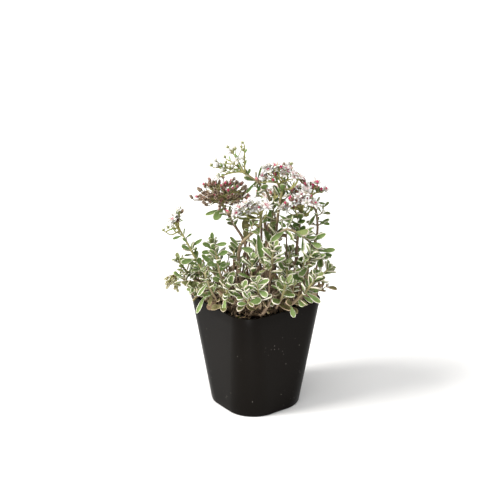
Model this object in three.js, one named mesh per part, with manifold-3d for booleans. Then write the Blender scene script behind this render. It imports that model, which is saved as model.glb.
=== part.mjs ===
// A tricolor stonecrop in its square nursery pot, in millimetres, +Z up.
// The origin is the middle of the pot's underside, and X and Y run along the pot's sides.
// The plant is laid out as it is seen from its showy side: right, away and up. That view is
// turned about Z from the pot's own axes, because the pot stands with a corner to the front.
import * as THREE from "three";
import Module from "manifold-3d";

const wasm = await Module();
wasm.setup();

// Pot: a thin moulded wall that widens from a rounded square foot to a wider rounded square rim
const POT_HEIGHT = 98;
const RIM_SIDE = 90;
const FOOT_SIDE = 70;
const RIM_CORNER = 18;
const FOOT_CORNER = 26;
const WALL = 1.2;
const FLOOR = 1.6;
const FOOT_BEVEL = 1.6;
const CORNER_STEPS = 5;
const DRAIN_RADIUS = 4.2;
const DRAIN_OFFSET = 20;
const DRAIN_SIDES = 10;
const CHANNEL_WIDTH = 4;
const CHANNEL_DEPTH = 0.7;

// Potting soil, which fills the pot to a little under the rim
const SOIL_TOP = 92;
const SOIL_LUMP = 1.3;
const SOIL_RINGS = [0.82, 0.6, 0.36, 0.14];
const GAP = 0.3;
const SLIVER = 0.02;

// How far the plant's layout is turned from the pot's axes
const PLANT_TURN = THREE.MathUtils.degToRad(36.5);

// Stems and leaves
const STEM_SIDES = 4;
const STEM_STEP = 17;
const LEAF_SHAPE = 0.56;
const LEAF_WIDEST = 0.68;
const LEAF_FOOT = 0.14;
const LEAF_THICK = 1.5;
const LEAF_CUP = 0.28;
const LEAF_RIM = [0.5, 0.92];
const LEAF_HEART = 0.58;
const LEAF_ROOT = -0.12;
const LEAF_ROOM = 1.15;
const LEAF_FOOT_ROOM = 0.7;
const LEAF_OWN_ROOM = 0.7;
const LEAF_TRIES = 14;
const LEAST_LEAN = THREE.MathUtils.degToRad(30);
const REFERENCE = new THREE.Vector3(0.31, 0.94, 0.14);

// Flowers: an open one is a five-pointed star, a spent one and a bud are closed round their middle
const RAY_SIDES = 3;
const RAY_STEPS = 2;
const RAY_RADIUS = 0.75;
const RAY_ARCH = 3;
const HEAD_FOOT = 3.2;
const HEAD_RADIUS = 0.95;
const FLOWERS = {
  open: { petals: 5, reach: 3.2, rise: 4.4, notch: 1.3, notchRise: 3.6, heart: 4.0, room: 2.6 },
  dry: { petals: 4, reach: 1.9, rise: 4.2, heart: 6.4, room: 2.0 },
  bud: { petals: 3, reach: 1.6, rise: 3.4, heart: 5.4, room: 1.7 },
};

const surface = (color, roughness) =>
  new THREE.MeshStandardMaterial({ color, roughness, metalness: 0 });
const BLACK_PLASTIC = surface(0x1d1c1b, 0.45);
const SOIL = surface(0x2a211a, 0.95);
const LEAFY = surface(0x6f8f52, 0.55);
const WHITE_BLOOM = surface(0xe9dcdc, 0.6);
const DRY_BLOOM = surface(0x8c5a50, 0.7);

// Leafy stems, each with the points that it runs through from its buried end to its tip. thick
// and thin are its radii at the two ends, its pairs of leaves start at the share "from" of it, and
// its longest leaves are "long".
const SHOOT = { thick: 1.3, thin: 0.8, pairs: 6, from: 0.36, long: 13 };
const leafyStem = (name, own, ...points) => ({ name, ...SHOOT, ...own, points });
const STEMS = [
  leafyStem("stem_far_left", { thick: 1.4, thin: 0.7, pairs: 7, from: 0.3 },
    [-20, -6, 80], [-24, -8, 100], [-38, -14, 115], [-46, -17, 130], [-54, -18, 146], [-63, -14, 162]),
  leafyStem("stem_left_pale", { thick: 1.2, thin: 0.7, pairs: 8, long: 14 },
    [-14, -12, 80], [-17, -16, 98], [-26, -22, 115], [-30, -24, 129], [-33, -22, 143], [-36, -20, 152]),
  leafyStem("stem_left_low", { thick: 1.2, thin: 0.7, pairs: 5, from: 0.4, long: 12 },
    [-32, -12, 80], [-36, -13, 98], [-46, -13, 105], [-55, -12, 111], [-62, -10, 117], [-66, -8, 118]),
  leafyStem("stem_left_head", { thick: 1.6, thin: 0.9, pairs: 4, from: 0.5 },
    [3, 4, 80], [2, 6, 98], [-5, 6, 124], [-10, 8, 145], [-17, 10, 157], [-23, 12, 167], [-27, 12, 175]),
  leafyStem("stem_tan", { thick: 1.5, thin: 0.9, pairs: 4, from: 0.4, long: 12 },
    [-8, -2, 80], [-10, -4, 100], [-14, -3, 124], [-13, -4, 143],
    [-6, -8, 154], [3, -10, 163], [5, -10, 173]),
  leafyStem("stem_top", { thick: 1.6, pairs: 5, from: 0.42 },
    [9, 14, 80], [9, 13, 98], [12, 10, 131], [14, 6, 164], [11, 2, 187], [1, 0, 200], [-8, -2, 207]),
  leafyStem("stem_right_trunk", { thick: 1.7, thin: 0.9, pairs: 4, from: 0.5, long: 16 },
    [31, -6, 80], [32, -4, 98], [34, -2, 122], [36, 2, 147], [38, 4, 163], [39, 4, 172]),
  leafyStem("stem_mid_trunk", { thick: 1.7, thin: 0.9, from: 0.42, long: 15 },
    [15, 0, 80], [14, 0, 100], [16, 2, 133], [18, 0, 159], [20, 0, 178], [22, 0, 189], [23, 0, 196]),
  leafyStem("stem_right_outer", { thick: 1.4, pairs: 5, from: 0.45, long: 15 },
    [36, 12, 80], [39, 12, 98], [47, 14, 123], [53, 14, 148], [53, 12, 162], [51, 10, 175], [48, 8, 184]),
  leafyStem("stem_arching", { thick: 1.5, pairs: 9, from: 0.4, long: 15 },
    [9, -14, 80], [10, -15, 100], [8, -12, 133], [13, -12, 151],
    [25, -14, 162], [37, -14, 158], [48, -14, 149], [56, -14, 138]),
  leafyStem("shoot_right_low", { thick: 1.5, pairs: 8, from: 0.33, long: 14 },
    [20, -27, 80], [24, -30, 97], [33, -40, 108], [44, -43, 121], [49, -44, 130]),
  leafyStem("shoot_center", { thick: 1.2, pairs: 8, long: 14 },
    [9, -25, 80], [11, -28, 98], [12, -31, 124], [14, -33, 142], [15, -34, 151]),
  leafyStem("shoot_front_left", { thick: 1.8, pairs: 7, from: 0.5 },
    [-22, -24, 80], [-16, -31, 95], [-10, -38, 101], [-9, -44, 112], [-10, -47, 121]),
  leafyStem("shoot_front", { thick: 1.7, pairs: 7, from: 0.42, long: 14 },
    [-3, -30, 80], [1, -35, 96], [4, -40, 103], [3, -44, 115], [1, -46, 126]),
  leafyStem("shoot_front_corner", { thick: 1.6, pairs: 7, from: 0.42 },
    [-16, -17, 80], [-22, -30, 97], [-26, -36, 104], [-24, -42, 115], [-21, -44, 124]),
  leafyStem("shoot_inner_left", { thick: 1.2, pairs: 7, from: 0.38 },
    [-2, -16, 80], [-3, -20, 100], [-3, -24, 124], [-2, -26, 139]),
  leafyStem("shoot_right_leafy", { thick: 1.4, pairs: 7, from: 0.33, long: 16 },
    [34, -17, 80], [38, -17, 98], [41, -20, 117], [44, -22, 133], [47, -23, 144]),
  leafyStem("shoot_right_edge", { thick: 1.2, thin: 0.7, pairs: 5, from: 0.38 },
    [38, 4, 80], [42, 5, 97], [52, 4, 108], [58, 3, 116], [63, 2, 121]),
  leafyStem("shoot_left_rosette", { pairs: 7, from: 0.33 },
    [-26, -23, 80], [-29, -26, 98], [-37, -31, 114], [-42, -33, 132]),
  leafyStem("shoot_front_right", { pairs: 7, from: 0.33, long: 14 },
    [15, -31, 80], [17, -34, 98], [22, -41, 112], [25, -46, 126]),
  leafyStem("shoot_inner_right", { thick: 1.2, long: 14 },
    [22, -12, 80], [23, -14, 98], [26, -18, 116], [27, -22, 133]),
  leafyStem("shoot_left_mid", { thick: 1.2 },
    [-21, 2, 80], [-24, 3, 98], [-33, 3, 112], [-38, 2, 129]),
  leafyStem("shoot_left_side", { pairs: 7, from: 0.33 },
    [-28, -3, 80], [-33, -3, 98], [-46, -5, 111], [-58, -8, 122], [-65, -10, 134]),
  leafyStem("shoot_left_front", { thick: 1.4, pairs: 7, long: 14 },
    [-26, -10, 80], [-29, -14, 97], [-36, -22, 105], [-45, -27, 112], [-52, -30, 114]),
  leafyStem("shoot_back_left", {},
    [-18, 18, 80], [-20, 20, 98], [-29, 28, 113], [-35, 33, 127]),
  leafyStem("shoot_back_inner", {},
    [-10, 18, 80], [-12, 21, 98], [-17, 28, 114], [-19, 31, 128]),
  leafyStem("shoot_back", {},
    [-1, 28, 80], [-1, 31, 98], [0, 38, 114], [1, 42, 130]),
  leafyStem("shoot_back_right", {},
    [20, 24, 80], [22, 26, 98], [27, 33, 112], [31, 38, 125]),
  leafyStem("shoot_back_far", {},
    [8, 42, 80], [8, 45, 98], [10, 53, 110], [12, 60, 122]),
  leafyStem("shoot_back_corner", {},
    [30, 16, 80], [34, 18, 98], [43, 24, 109], [50, 28, 120]),
  leafyStem("shoot_back_side", {},
    [-29, 10, 80], [-34, 12, 98], [-45, 17, 105], [-53, 21, 113]),
  leafyStem("stem_back", { thick: 1.5, thin: 0.9, from: 0.42 },
    [3, 20, 80], [5, 22, 98], [10, 29, 125], [14, 34, 150], [16, 37, 168]),
];

// Flower heads, each on the tip of a stem. open and dry are the shares of its flowers that are
// open and spent, the rest are buds, and each ray is [right, away, up, flowers] from that tip.
const flowerHead = (name, on, open, dry, ...rays) => ({ name, on, open, dry, rays });
const HEADS = [
  flowerHead("head_top", "stem_top", 0.1, 0,
    [-1, 0, 25, 3], [-13, -3, 22, 3], [-27, 2, 5, 3], [-21, -5, -1, 2], [-16, 6, 11, 2]),
  flowerHead("head_left", "stem_left_head", 0, 1,
    [-25, -3, 6, 3], [-18, -8, 14, 4], [-10, 4, 19, 4], [2, -4, 20, 4], [13, 2, 16, 4], [19, -5, 7, 3],
    [10, -13, 10, 3], [-9, 14, 11, 3]),
  flowerHead("head_tan", "stem_tan", 0.85, 0.15,
    [-25, -3, 1, 4], [-16, -8, 8, 3], [-6, -6, 11, 3], [5, -8, 8, 3]),
  flowerHead("head_mid", "stem_mid_trunk", 0.6, 0.3,
    [-19, -4, 4, 3], [-13, 1, 14, 4], [-4, -6, 18, 4], [6, 5, 16, 4], [13, -7, 8, 3], [-8, 10, 11, 2]),
  flowerHead("head_right", "stem_right_trunk", 0.45, 0.55,
    [-15, -7, 4, 3], [-8, -11, 12, 4], [3, -9, 18, 4], [-8, 7, 15, 3], [10, -10, 7, 3]),
  flowerHead("head_right_outer", "stem_right_outer", 0.2, 0.8,
    [9, -2, 5, 3], [3, -6, 12, 3], [-8, 2, 12, 3], [-13, -4, 5, 3]),
  flowerHead("head_far_left", "stem_far_left", 0.4, 0.2,
    [-12, -3, -1, 3], [-8, 4, 5, 2], [0, 1, 16, 3], [-4, -5, 9, 2]),
  flowerHead("head_left_low", "stem_left_low", 0, 1,
    [-7, 0, -7, 2], [-1, 5, -13, 3], [-7, -5, -1, 2]),
  flowerHead("head_back", "stem_back", 0.5, 0.4,
    [-12, 5, 7, 3], [8, 7, 10, 3], [1, 13, 6, 3]),
];

const UP = new THREE.Vector3(0, 0, 1);
const vector = (p) => new THREE.Vector3(...p);
const sum = (...terms) =>
  terms.reduce((total, [v, scale]) => total.addScaledVector(v, scale), new THREE.Vector3());
const degrees = THREE.MathUtils.degToRad;

// A repeatable stream of numbers from 0 to 1
function stream(seed) {
  let state = seed * 7919 + 12345;
  return () => {
    state = (state * 1664525 + 1013904223) % 4294967296;
    return state / 4294967296;
  };
}

// From the plant's layout to the pot's axes
function toPot(v) {
  const c = Math.cos(PLANT_TURN);
  const s = Math.sin(PLANT_TURN);
  return new THREE.Vector3(v.x * c + v.y * s, -v.x * s + v.y * c, v.z);
}

const turned = ({ at, radius }) => ({ at: toPot(at), radius });

// The point at the share t of a smooth line through points
function along(points, t) {
  const spans = points.length - 1;
  const span = Math.min(Math.floor(t * spans), spans - 1);
  const x = t * spans - span;
  const [a, b, c, d] = [-1, 0, 1, 2].map((k) => points[Math.min(Math.max(span + k, 0), spans)]);
  return new THREE.Vector3(...[0, 1, 2].map((i) => {
    const slope = 0.5 * (c[i] - a[i]);
    const curve = a[i] - 2.5 * b[i] + 2 * c[i] - 0.5 * d[i];
    const twist = 1.5 * (b[i] - c[i]) + 0.5 * (d[i] - a[i]);
    return b[i] + x * (slope + x * (curve + x * twist));
  }));
}

// The way that the line runs there
function heading(points, t) {
  const step = 0.01;
  const ahead = along(points, Math.min(t + step, 1));
  return ahead.sub(along(points, Math.max(t - step, 0))).normalize();
}

// A solid from rings of equally many points, each end closed by a fan round its own middle
function loft(rings) {
  const count = rings[0].length;
  const middle = (ring) =>
    ring.reduce((total, p) => total.add(p), new THREE.Vector3()).divideScalar(count);
  const points = [...rings.flat(), middle(rings[0]), middle(rings.at(-1))];
  const first = rings.length * count;
  const faces = [];
  for (let i = 0; i < count; i++) {
    const j = (i + 1) % count;
    for (let r = 0; r < rings.length - 1; r++) {
      const low = r * count;
      const high = low + count;
      faces.push(low + i, low + j, high + j, low + i, high + j, high + i);
    }
    faces.push(first, j, i);
    faces.push(first + 1, first - count + i, first - count + j);
  }
  return solidOf(points, faces);
}

function solidOf(points, faces) {
  const vertProperties = new Float32Array(points.flatMap((p) => [p.x, p.y, p.z]));
  const triVerts = new Uint32Array(faces);
  return new wasm.Manifold(new wasm.Mesh({ numProp: 3, vertProperties, triVerts }));
}

// A solid whose rim is closed by a fan round a point below it and one round a point above it
function spindle(rim, below, above) {
  const count = rim.length;
  const faces = rim.flatMap((_, i) => {
    const j = (i + 1) % count;
    return [count, j, i, count + 1, i, j];
  });
  return solidOf([...rim, below, above], faces);
}

// A tube along a line of {at, radius}, with its sides turned the same way all along
function tube(line, sides) {
  const last = line.length - 1;
  return loft(line.map(({ at, radius }, k) => {
    const before = line[Math.max(k - 1, 0)].at;
    const way = line[Math.min(k + 1, last)].at.clone().sub(before).normalize();
    const side = way.clone().cross(REFERENCE).normalize();
    const other = way.clone().cross(side);
    return Array.from({ length: sides }, (_, i) => {
      const turn = (2 * Math.PI * i) / sides;
      return sum([at, 1], [side, radius * Math.cos(turn)], [other, radius * Math.sin(turn)]);
    });
  }));
}

// Joins solids, fills what they seal, and drops loose scraps and hair-thin slivers
function fuse(solids) {
  const bodies = wasm.Manifold.union(solids).decompose();
  const largest = bodies.reduce((best, body) => (body.volume() > best.volume() ? body : best));
  return largest.simplify(SLIVER);
}

function meshOf(name, solid, material) {
  const { vertProperties, triVerts } = solid.getMesh();
  const geometry = new THREE.BufferGeometry();
  geometry.setAttribute("position", new THREE.BufferAttribute(new Float32Array(vertProperties), 3));
  geometry.setIndex(new THREE.BufferAttribute(triVerts, 1));
  geometry.computeVertexNormals();
  const mesh = new THREE.Mesh(geometry, material);
  mesh.name = name;
  return mesh;
}

// The pot

const potSide = (z) => FOOT_SIDE + ((RIM_SIDE - FOOT_SIDE) * z) / POT_HEIGHT;
const potCorner = (z) => FOOT_CORNER + ((RIM_CORNER - FOOT_CORNER) * z) / POT_HEIGHT;

// The pot's outline at height z, drawn in by inset and then scaled about its middle
function potRing(z, inset, scale = 1) {
  const radius = potCorner(z) - inset;
  const reach = potSide(z) / 2 - inset - radius;
  return [[1, 1], [-1, 1], [-1, -1], [1, -1]].flatMap(([right, back], corner) =>
    Array.from({ length: CORNER_STEPS + 1 }, (_, i) => {
      const turn = (Math.PI / 2) * (corner + i / CORNER_STEPS);
      return new THREE.Vector3(
        scale * (right * reach + radius * Math.cos(turn)),
        scale * (back * reach + radius * Math.sin(turn)),
        z,
      );
    }));
}

function potSolid() {
  const outside = loft([potRing(0, FOOT_BEVEL), potRing(FOOT_BEVEL, 0), potRing(POT_HEIGHT, 0)]);
  const inside = loft([
    potRing(FLOOR, WALL + FOOT_BEVEL),
    potRing(FLOOR + FOOT_BEVEL, WALL),
    potRing(POT_HEIGHT + 1, WALL),
  ]);
  const cuts = [45, 135, 225, 315].flatMap((turn) =>
    [drainHole(), drainChannel()].map((cut) => cut.rotate([0, 0, turn])));
  return outside.subtract(inside).subtract(wasm.Manifold.union(cuts));
}

// A hole through the pot's floor
function drainHole() {
  return prism(-1, FLOOR + 2, Array.from({ length: DRAIN_SIDES }, (_, i) => {
    const turn = (2 * Math.PI * i) / DRAIN_SIDES;
    return [DRAIN_OFFSET + DRAIN_RADIUS * Math.cos(turn), DRAIN_RADIUS * Math.sin(turn)];
  }));
}

// A shallow channel under the floor, from the hole out to the pot's side
function drainChannel() {
  const half = CHANNEL_WIDTH / 2;
  return prism(-1, CHANNEL_DEPTH, [
    [DRAIN_OFFSET, -half],
    [RIM_SIDE, -half],
    [RIM_SIDE, half],
    [DRAIN_OFFSET, half],
  ]);
}

function prism(bottom, top, outline) {
  return loft([bottom, top].map((z) => outline.map(([x, y]) => new THREE.Vector3(x, y, z))));
}

// The potting soil

// Its surface rises and falls a little round its level
function soilHeight(x, y) {
  const broad = 0.6 * Math.sin(0.21 * x + 1) * Math.cos(0.17 * y);
  const fine = 0.4 * Math.sin(0.43 * x - 0.37 * y);
  return SOIL_TOP + SOIL_LUMP * (broad + fine);
}

function soilSolid(holes) {
  const inset = WALL + GAP;
  const top = SOIL_RINGS.map((scale) =>
    potRing(SOIL_TOP, inset, scale).map((p) => p.setZ(soilHeight(p.x, p.y))));
  const body = loft([
    potRing(FLOOR + GAP, inset + FOOT_BEVEL),
    potRing(FLOOR + GAP + FOOT_BEVEL, inset),
    potRing(SOIL_TOP - 1, inset),
    ...top,
  ]);
  return fuse([body.subtract(wasm.Manifold.union(holes))]);
}

// Room in the plant's layout

// What already takes up room, as balls {at, room, ownRoom, owner}: a point keeps "room" away from
// another node's ball, and "ownRoom" away from a ball of its own node
const taken = [];
const NO_ROOM = -Infinity;

function isClear(point, owner, room, ownRoom) {
  return taken.every((ball) => {
    const need = ball.owner === owner ? ownRoom + ball.ownRoom : room + ball.room;
    return ball.at.distanceTo(point) >= need;
  });
}

// Where a point of the plant's layout is to the pot's wall: over its rim, inside, outside or in it
function wallPlace(p) {
  if (p.z > POT_HEIGHT + LEAF_ROOM) return "over";
  const { x, y } = toPot(p);
  const radius = potCorner(p.z);
  const reach = potSide(p.z) / 2 - radius;
  const dx = Math.max(Math.abs(x) - reach, 0);
  const dy = Math.max(Math.abs(y) - reach, 0);
  const beyond = Math.sqrt(dx * dx + dy * dy) - radius;
  if (beyond > LEAF_ROOM) return "out";
  return beyond < -WALL - LEAF_ROOM ? "in" : "wall";
}

// Stems

const stemLength = (points) =>
  points.slice(1).reduce((total, p, i) => total + vector(p).distanceTo(vector(points[i])), 0);
const stemRadius = (stem, t) => stem.thick + (stem.thin - stem.thick) * t;

// The stem's line as {at, radius}
function stemLine(stem, steps) {
  return Array.from({ length: steps + 1 }, (_, i) => ({
    at: along(stem.points, i / steps),
    radius: stemRadius(stem, i / steps),
  }));
}

// The plain hole that a stem stands in, clear of it on all sides and below
function stemHole(line) {
  const hole = line.map(({ at, radius }) => ({ at, radius: 1.05 * (radius + GAP) }));
  const below = line[0].at.clone().sub(line[1].at).setLength(2.5 * GAP);
  hole[0].at = hole[0].at.clone().add(below);
  return tube(hole, STEM_SIDES);
}

// Leaves. A leaf is {root, way, face, long, bend}: where it leaves its stem, where it points, its
// upper side, its length and how far its end bends up.

// Half the leaf's width at the share s of its length
function leafHalfWidth(leaf, s) {
  const rise = s / LEAF_WIDEST;
  const fall = (s - LEAF_WIDEST) / (1 - LEAF_WIDEST);
  const shape = s < LEAF_WIDEST
    ? LEAF_FOOT + (1 - LEAF_FOOT) * rise * rise * (3 - 2 * rise)
    : Math.sqrt(Math.max(1 - fall * fall, 0));
  return 0.5 * LEAF_SHAPE * leaf.long * shape;
}

// A point of the leaf's middle surface: s along it, q from -1 to 1 across it
function leafPoint(leaf, s, q) {
  const half = leafHalfWidth(leaf, s);
  const across = leaf.way.clone().cross(leaf.face);
  const lift = leaf.long * leaf.bend * s * s + LEAF_CUP * half * q * q;
  return sum([leaf.root, 1], [leaf.way, leaf.long * s], [leaf.face, lift], [across, half * q]);
}

// Points that stand for the leaf: two down its foot, then six over its blade
function leafProbes(leaf, owner) {
  const foot = [[0.16, 0], [0.33, 0]];
  const blade = [[0.55, -0.5], [0.55, 0.5], [0.8, -0.65], [0.8, 0.65], [0.8, 0], [1, 0]];
  const ball = (room, ownRoom) => ([s, q]) => ({ at: leafPoint(leaf, s, q), room, ownRoom, owner });
  return [
    ...foot.map(ball(LEAF_FOOT_ROOM, NO_ROOM)),
    ...blade.map(ball(LEAF_ROOM, LEAF_OWN_ROOM)),
  ];
}

// Whether the leaf is clear of the pot, the soil and all that has grown already
function leafStands(probes) {
  const places = probes.map(({ at }) => wallPlace(at));
  const meetsWall = places.includes("wall") || (places.includes("in") && places.includes("out"));
  const lowest = SOIL_TOP + SOIL_LUMP + LEAF_ROOM;
  const meetsSoil = probes.some(({ at }, i) => places[i] === "in" && at.z < lowest);
  return !meetsWall && !meetsSoil && probes.every((probe) =>
    isClear(probe.at, probe.owner, probe.room, probe.ownRoom));
}

// The leaf at the share t of a stem, turned about it by turn and leaning out from it by pitch
function leafAt(stem, t, turn, pitch, long, bend) {
  const way = heading(stem.points, t);
  const side = way.clone().cross(REFERENCE).normalize();
  const other = way.clone().cross(side);
  const out = sum([side, Math.cos(turn)], [other, Math.sin(turn)]);
  return {
    root: sum([along(stem.points, t), 1], [out, -LEAF_ROOT * stemRadius(stem, t)]),
    way: sum([way, Math.cos(pitch)], [out, Math.sin(pitch)]),
    face: sum([way, Math.sin(pitch)], [out, -Math.cos(pitch)]),
    long,
    bend,
  };
}

// The leaf, or the nearest to it that is clear: by steps it turns aside, leans and shortens
function fitLeaf(stem, t, turn, pitch, long, bend) {
  for (let k = 0; k < LEAF_TRIES; k++) {
    const aside = Math.ceil(k / 2) * (k % 2 ? 1 : -1);
    const lean = Math.max(pitch - degrees(4) * aside, LEAST_LEAN);
    const leaf = leafAt(stem, t, turn + degrees(17) * aside, lean, long * (1 - 0.028 * k), bend);
    const probes = leafProbes(leaf, stem.name);
    if (leafStands(probes)) {
      taken.push(...probes);
      return leaf;
    }
  }
  return null;
}

// Opposite pairs, each a quarter turn from the last, closer, steeper and smaller towards the tip
function growLeaves(stem, seed) {
  const random = stream(seed);
  const first = random() * Math.PI;
  const last = HEADS.some(({ on }) => on === stem.name) ? 0.92 : 0.975;
  const leaves = [];
  for (let pair = 0; pair < stem.pairs; pair++) {
    const share = pair / (stem.pairs - 1);
    const t = stem.from + (last - stem.from) * (1 - (1 - share) ** 1.35);
    for (let side = 0; side < 2; side++) {
      const turn = first + (pair * Math.PI) / 2 + side * Math.PI + 0.4 * (random() - 0.5);
      const pitch = degrees(76 - 42 * share + 16 * (random() - 0.5));
      const long = stem.long * (1 - 0.38 * share * share) * (0.86 + 0.28 * random());
      const bend = 0.16 * (random() - 0.55);
      leaves.push(fitLeaf(stem, t, turn, pitch, long, bend));
    }
  }
  return leaves.filter(Boolean);
}

// A fleshy blade, a little hollowed above and full below
function leafSolid(leaf) {
  const rightEdge = LEAF_RIM.map((s) => leafPoint(leaf, s, 1));
  const leftEdge = LEAF_RIM.map((s) => leafPoint(leaf, s, -1)).reverse();
  const heart = leafPoint(leaf, LEAF_HEART, 0);
  const thick = Math.min(LEAF_THICK, 0.13 * leaf.long);
  const below = sum([heart, 1], [leaf.face, -0.7 * thick]);
  const above = sum([heart, 1], [leaf.face, 0.3 * thick]);
  return spindle([leaf.root, ...rightEdge, ...leftEdge].map(toPot), toPot(below), toPot(above));
}

// The flowers

// A ray leaves its head's foot a little above the ray before it and arches out to its end
function rayPoint(head, ray, s) {
  const share = head.rays.indexOf(ray) / head.rays.length;
  const start = sum([head.tip, 1], [head.way, 1 + HEAD_FOOT * share]);
  const end = vector(ray).add(head.tip);
  const middle = start.clone().lerp(end, 0.45).addScaledVector(UP, RAY_ARCH);
  return sum([start, (1 - s) ** 2], [middle, 2 * s * (1 - s)], [end, s * s]);
}

// Flowers sit in two rows along the upper side of a ray, the last one at its end
function growRay(head, ray, random) {
  const outward = vector(ray).setZ(0).normalize();
  const sideways = outward.clone().cross(UP);
  const hang = ray[2] < 0 && head.open === 0 ? -0.8 : 0.9;
  const count = ray[3];
  return Array.from({ length: count }, (_, k) => {
    const s = 0.42 + (0.58 * k) / (count - 1);
    const row = k === count - 1 ? 0.1 : 0.8 * (k % 2 ? 1 : -1);
    const draw = random();
    const kind = draw < head.open ? "open" : draw < head.open + head.dry ? "dry" : "bud";
    const way = sum([UP, hang], [outward, 0.2 + 0.5 * s], [sideways, row]).normalize();
    const size = 0.86 + 0.28 * random();
    return { root: rayPoint(head, ray, s), way, kind, size, spin: 3 * random() };
  });
}

// Grows a head on its stem's tip, and takes up its room
function growHead(head, seed) {
  const random = stream(seed);
  const stem = STEMS.find(({ name }) => name === head.on);
  head.tip = vector(stem.points.at(-1));
  head.way = heading(stem.points, 1);
  head.flowers = head.rays.flatMap((ray) => growRay(head, ray, random));
  head.flowers.forEach(({ root, way, kind, size }) => {
    const at = sum([root, 1], [way, 3.6 * size]);
    taken.push({ at, room: FLOWERS[kind].room, ownRoom: NO_ROOM, owner: head.name });
  });
  head.rays.forEach((ray) => {
    for (let i = 1; i <= 9; i++) {
      taken.push({ at: rayPoint(head, ray, i / 9), room: 1, ownRoom: NO_ROOM, owner: head.name });
    }
  });
}

// A flower widens from its foot in the ray to the tips of its petals
function flowerSolid({ root, way, kind, size, spin }) {
  const { petals, reach, rise, notch, notchRise, heart } = FLOWERS[kind];
  const side = way.clone().cross(REFERENCE).normalize();
  const other = way.clone().cross(side);
  const count = notch ? 2 * petals : petals;
  const rim = Array.from({ length: count }, (_, i) => {
    const turn = spin + (2 * Math.PI * i) / count;
    const [out, up] = notch && i % 2 ? [notch, notchRise] : [reach, rise];
    const right = size * out * Math.cos(turn);
    const back = size * out * Math.sin(turn);
    return sum([root, 1], [side, right], [other, back], [way, size * up]);
  });
  const low = sum([root, 1], [way, -0.3]);
  const top = sum([root, 1], [way, size * heart]);
  return spindle(rim.map(toPot), toPot(low), toPot(top));
}

function raySolid(head, ray) {
  return tube(Array.from({ length: RAY_STEPS + 1 }, (_, i) =>
    turned({ at: rayPoint(head, ray, i / RAY_STEPS), radius: RAY_RADIUS })), RAY_SIDES);
}

function headSolid(head) {
  const foot = tube([1.5 * GAP, 1.2 + HEAD_FOOT].map((rise) =>
    turned({ at: sum([head.tip, 1], [head.way, rise]), radius: HEAD_RADIUS })), STEM_SIDES);
  const rays = head.rays.map((ray) => raySolid(head, ray));
  return fuse([foot, ...rays, ...head.flowers.map(flowerSolid)]);
}

// The whole plant in its pot. Stems and flower heads take up their room first, and the leaves
// grow into what is left.
STEMS.forEach((stem) => {
  const steps = Math.ceil(stemLength(stem.points) / 2);
  stemLine(stem, steps).forEach(({ at, radius }) =>
    taken.push({ at, room: radius + 0.4, ownRoom: NO_ROOM, owner: stem.name }));
});
HEADS.forEach((head, i) => growHead(head, 500 + i));

const group = new THREE.Group();
const holes = [];
STEMS.forEach((stem, i) => {
  const steps = Math.max(Math.round(stemLength(stem.points) / STEM_STEP), 3);
  const line = stemLine(stem, steps).map(turned);
  holes.push(stemHole(line));
  const leaves = growLeaves(stem, i + 1).map(leafSolid);
  group.add(meshOf(stem.name, fuse([tube(line, STEM_SIDES), ...leaves]), LEAFY));
});
HEADS.forEach((head) => {
  const spent = head.dry > 0.6;
  group.add(meshOf(head.name, headSolid(head), spent ? DRY_BLOOM : WHITE_BLOOM));
});
group.add(meshOf("pot", potSolid(), BLACK_PLASTIC));
group.add(meshOf("potting_soil", soilSolid(holes), SOIL));

export default group;
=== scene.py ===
"""The looks of a tricolor stonecrop in its square nursery pot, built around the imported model.

Shapes are worked out in millimetres and become metres when a piece is made. The plant is laid
out as it is seen from its showy side (right, away and up), and turned to the pot's axes.
"""

import functools
import math

import bpy
import numpy as np
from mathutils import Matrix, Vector


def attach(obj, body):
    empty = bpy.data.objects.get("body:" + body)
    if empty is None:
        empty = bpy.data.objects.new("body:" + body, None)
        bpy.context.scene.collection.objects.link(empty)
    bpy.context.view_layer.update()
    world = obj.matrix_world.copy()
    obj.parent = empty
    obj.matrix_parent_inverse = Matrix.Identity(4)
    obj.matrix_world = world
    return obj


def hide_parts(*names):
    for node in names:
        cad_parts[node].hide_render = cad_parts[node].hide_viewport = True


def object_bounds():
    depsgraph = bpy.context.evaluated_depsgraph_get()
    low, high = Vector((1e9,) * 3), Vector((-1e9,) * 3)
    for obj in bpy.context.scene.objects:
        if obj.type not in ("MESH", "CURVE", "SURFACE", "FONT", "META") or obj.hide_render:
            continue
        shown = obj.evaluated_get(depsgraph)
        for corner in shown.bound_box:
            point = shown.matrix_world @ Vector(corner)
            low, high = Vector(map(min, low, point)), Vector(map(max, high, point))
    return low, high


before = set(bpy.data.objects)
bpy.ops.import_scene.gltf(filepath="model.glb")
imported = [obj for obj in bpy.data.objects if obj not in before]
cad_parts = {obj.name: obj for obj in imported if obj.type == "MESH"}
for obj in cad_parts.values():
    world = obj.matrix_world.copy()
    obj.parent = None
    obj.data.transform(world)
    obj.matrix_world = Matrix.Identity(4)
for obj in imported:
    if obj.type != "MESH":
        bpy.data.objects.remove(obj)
cad_low, cad_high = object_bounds()

MM = 0.001

# The pot and its soil
POT_HEIGHT = 98
RIM_SIDE = 90
FOOT_SIDE = 70
RIM_CORNER = 18
FOOT_CORNER = 26
WALL = 1.2
FLOOR = 1.6
FOOT_BEVEL = 1.6
CORNER_STEPS = 22
SIDE_STEPS = 6
LIP = 0.3
DRAIN_RADIUS = 4.2
DRAIN_OFFSET = 20
CHANNEL_WIDTH = 4
CHANNEL_DEPTH = 0.7
SOIL_TOP = 92
SOIL_LUMP = 1.3
GAP = 0.3

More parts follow.
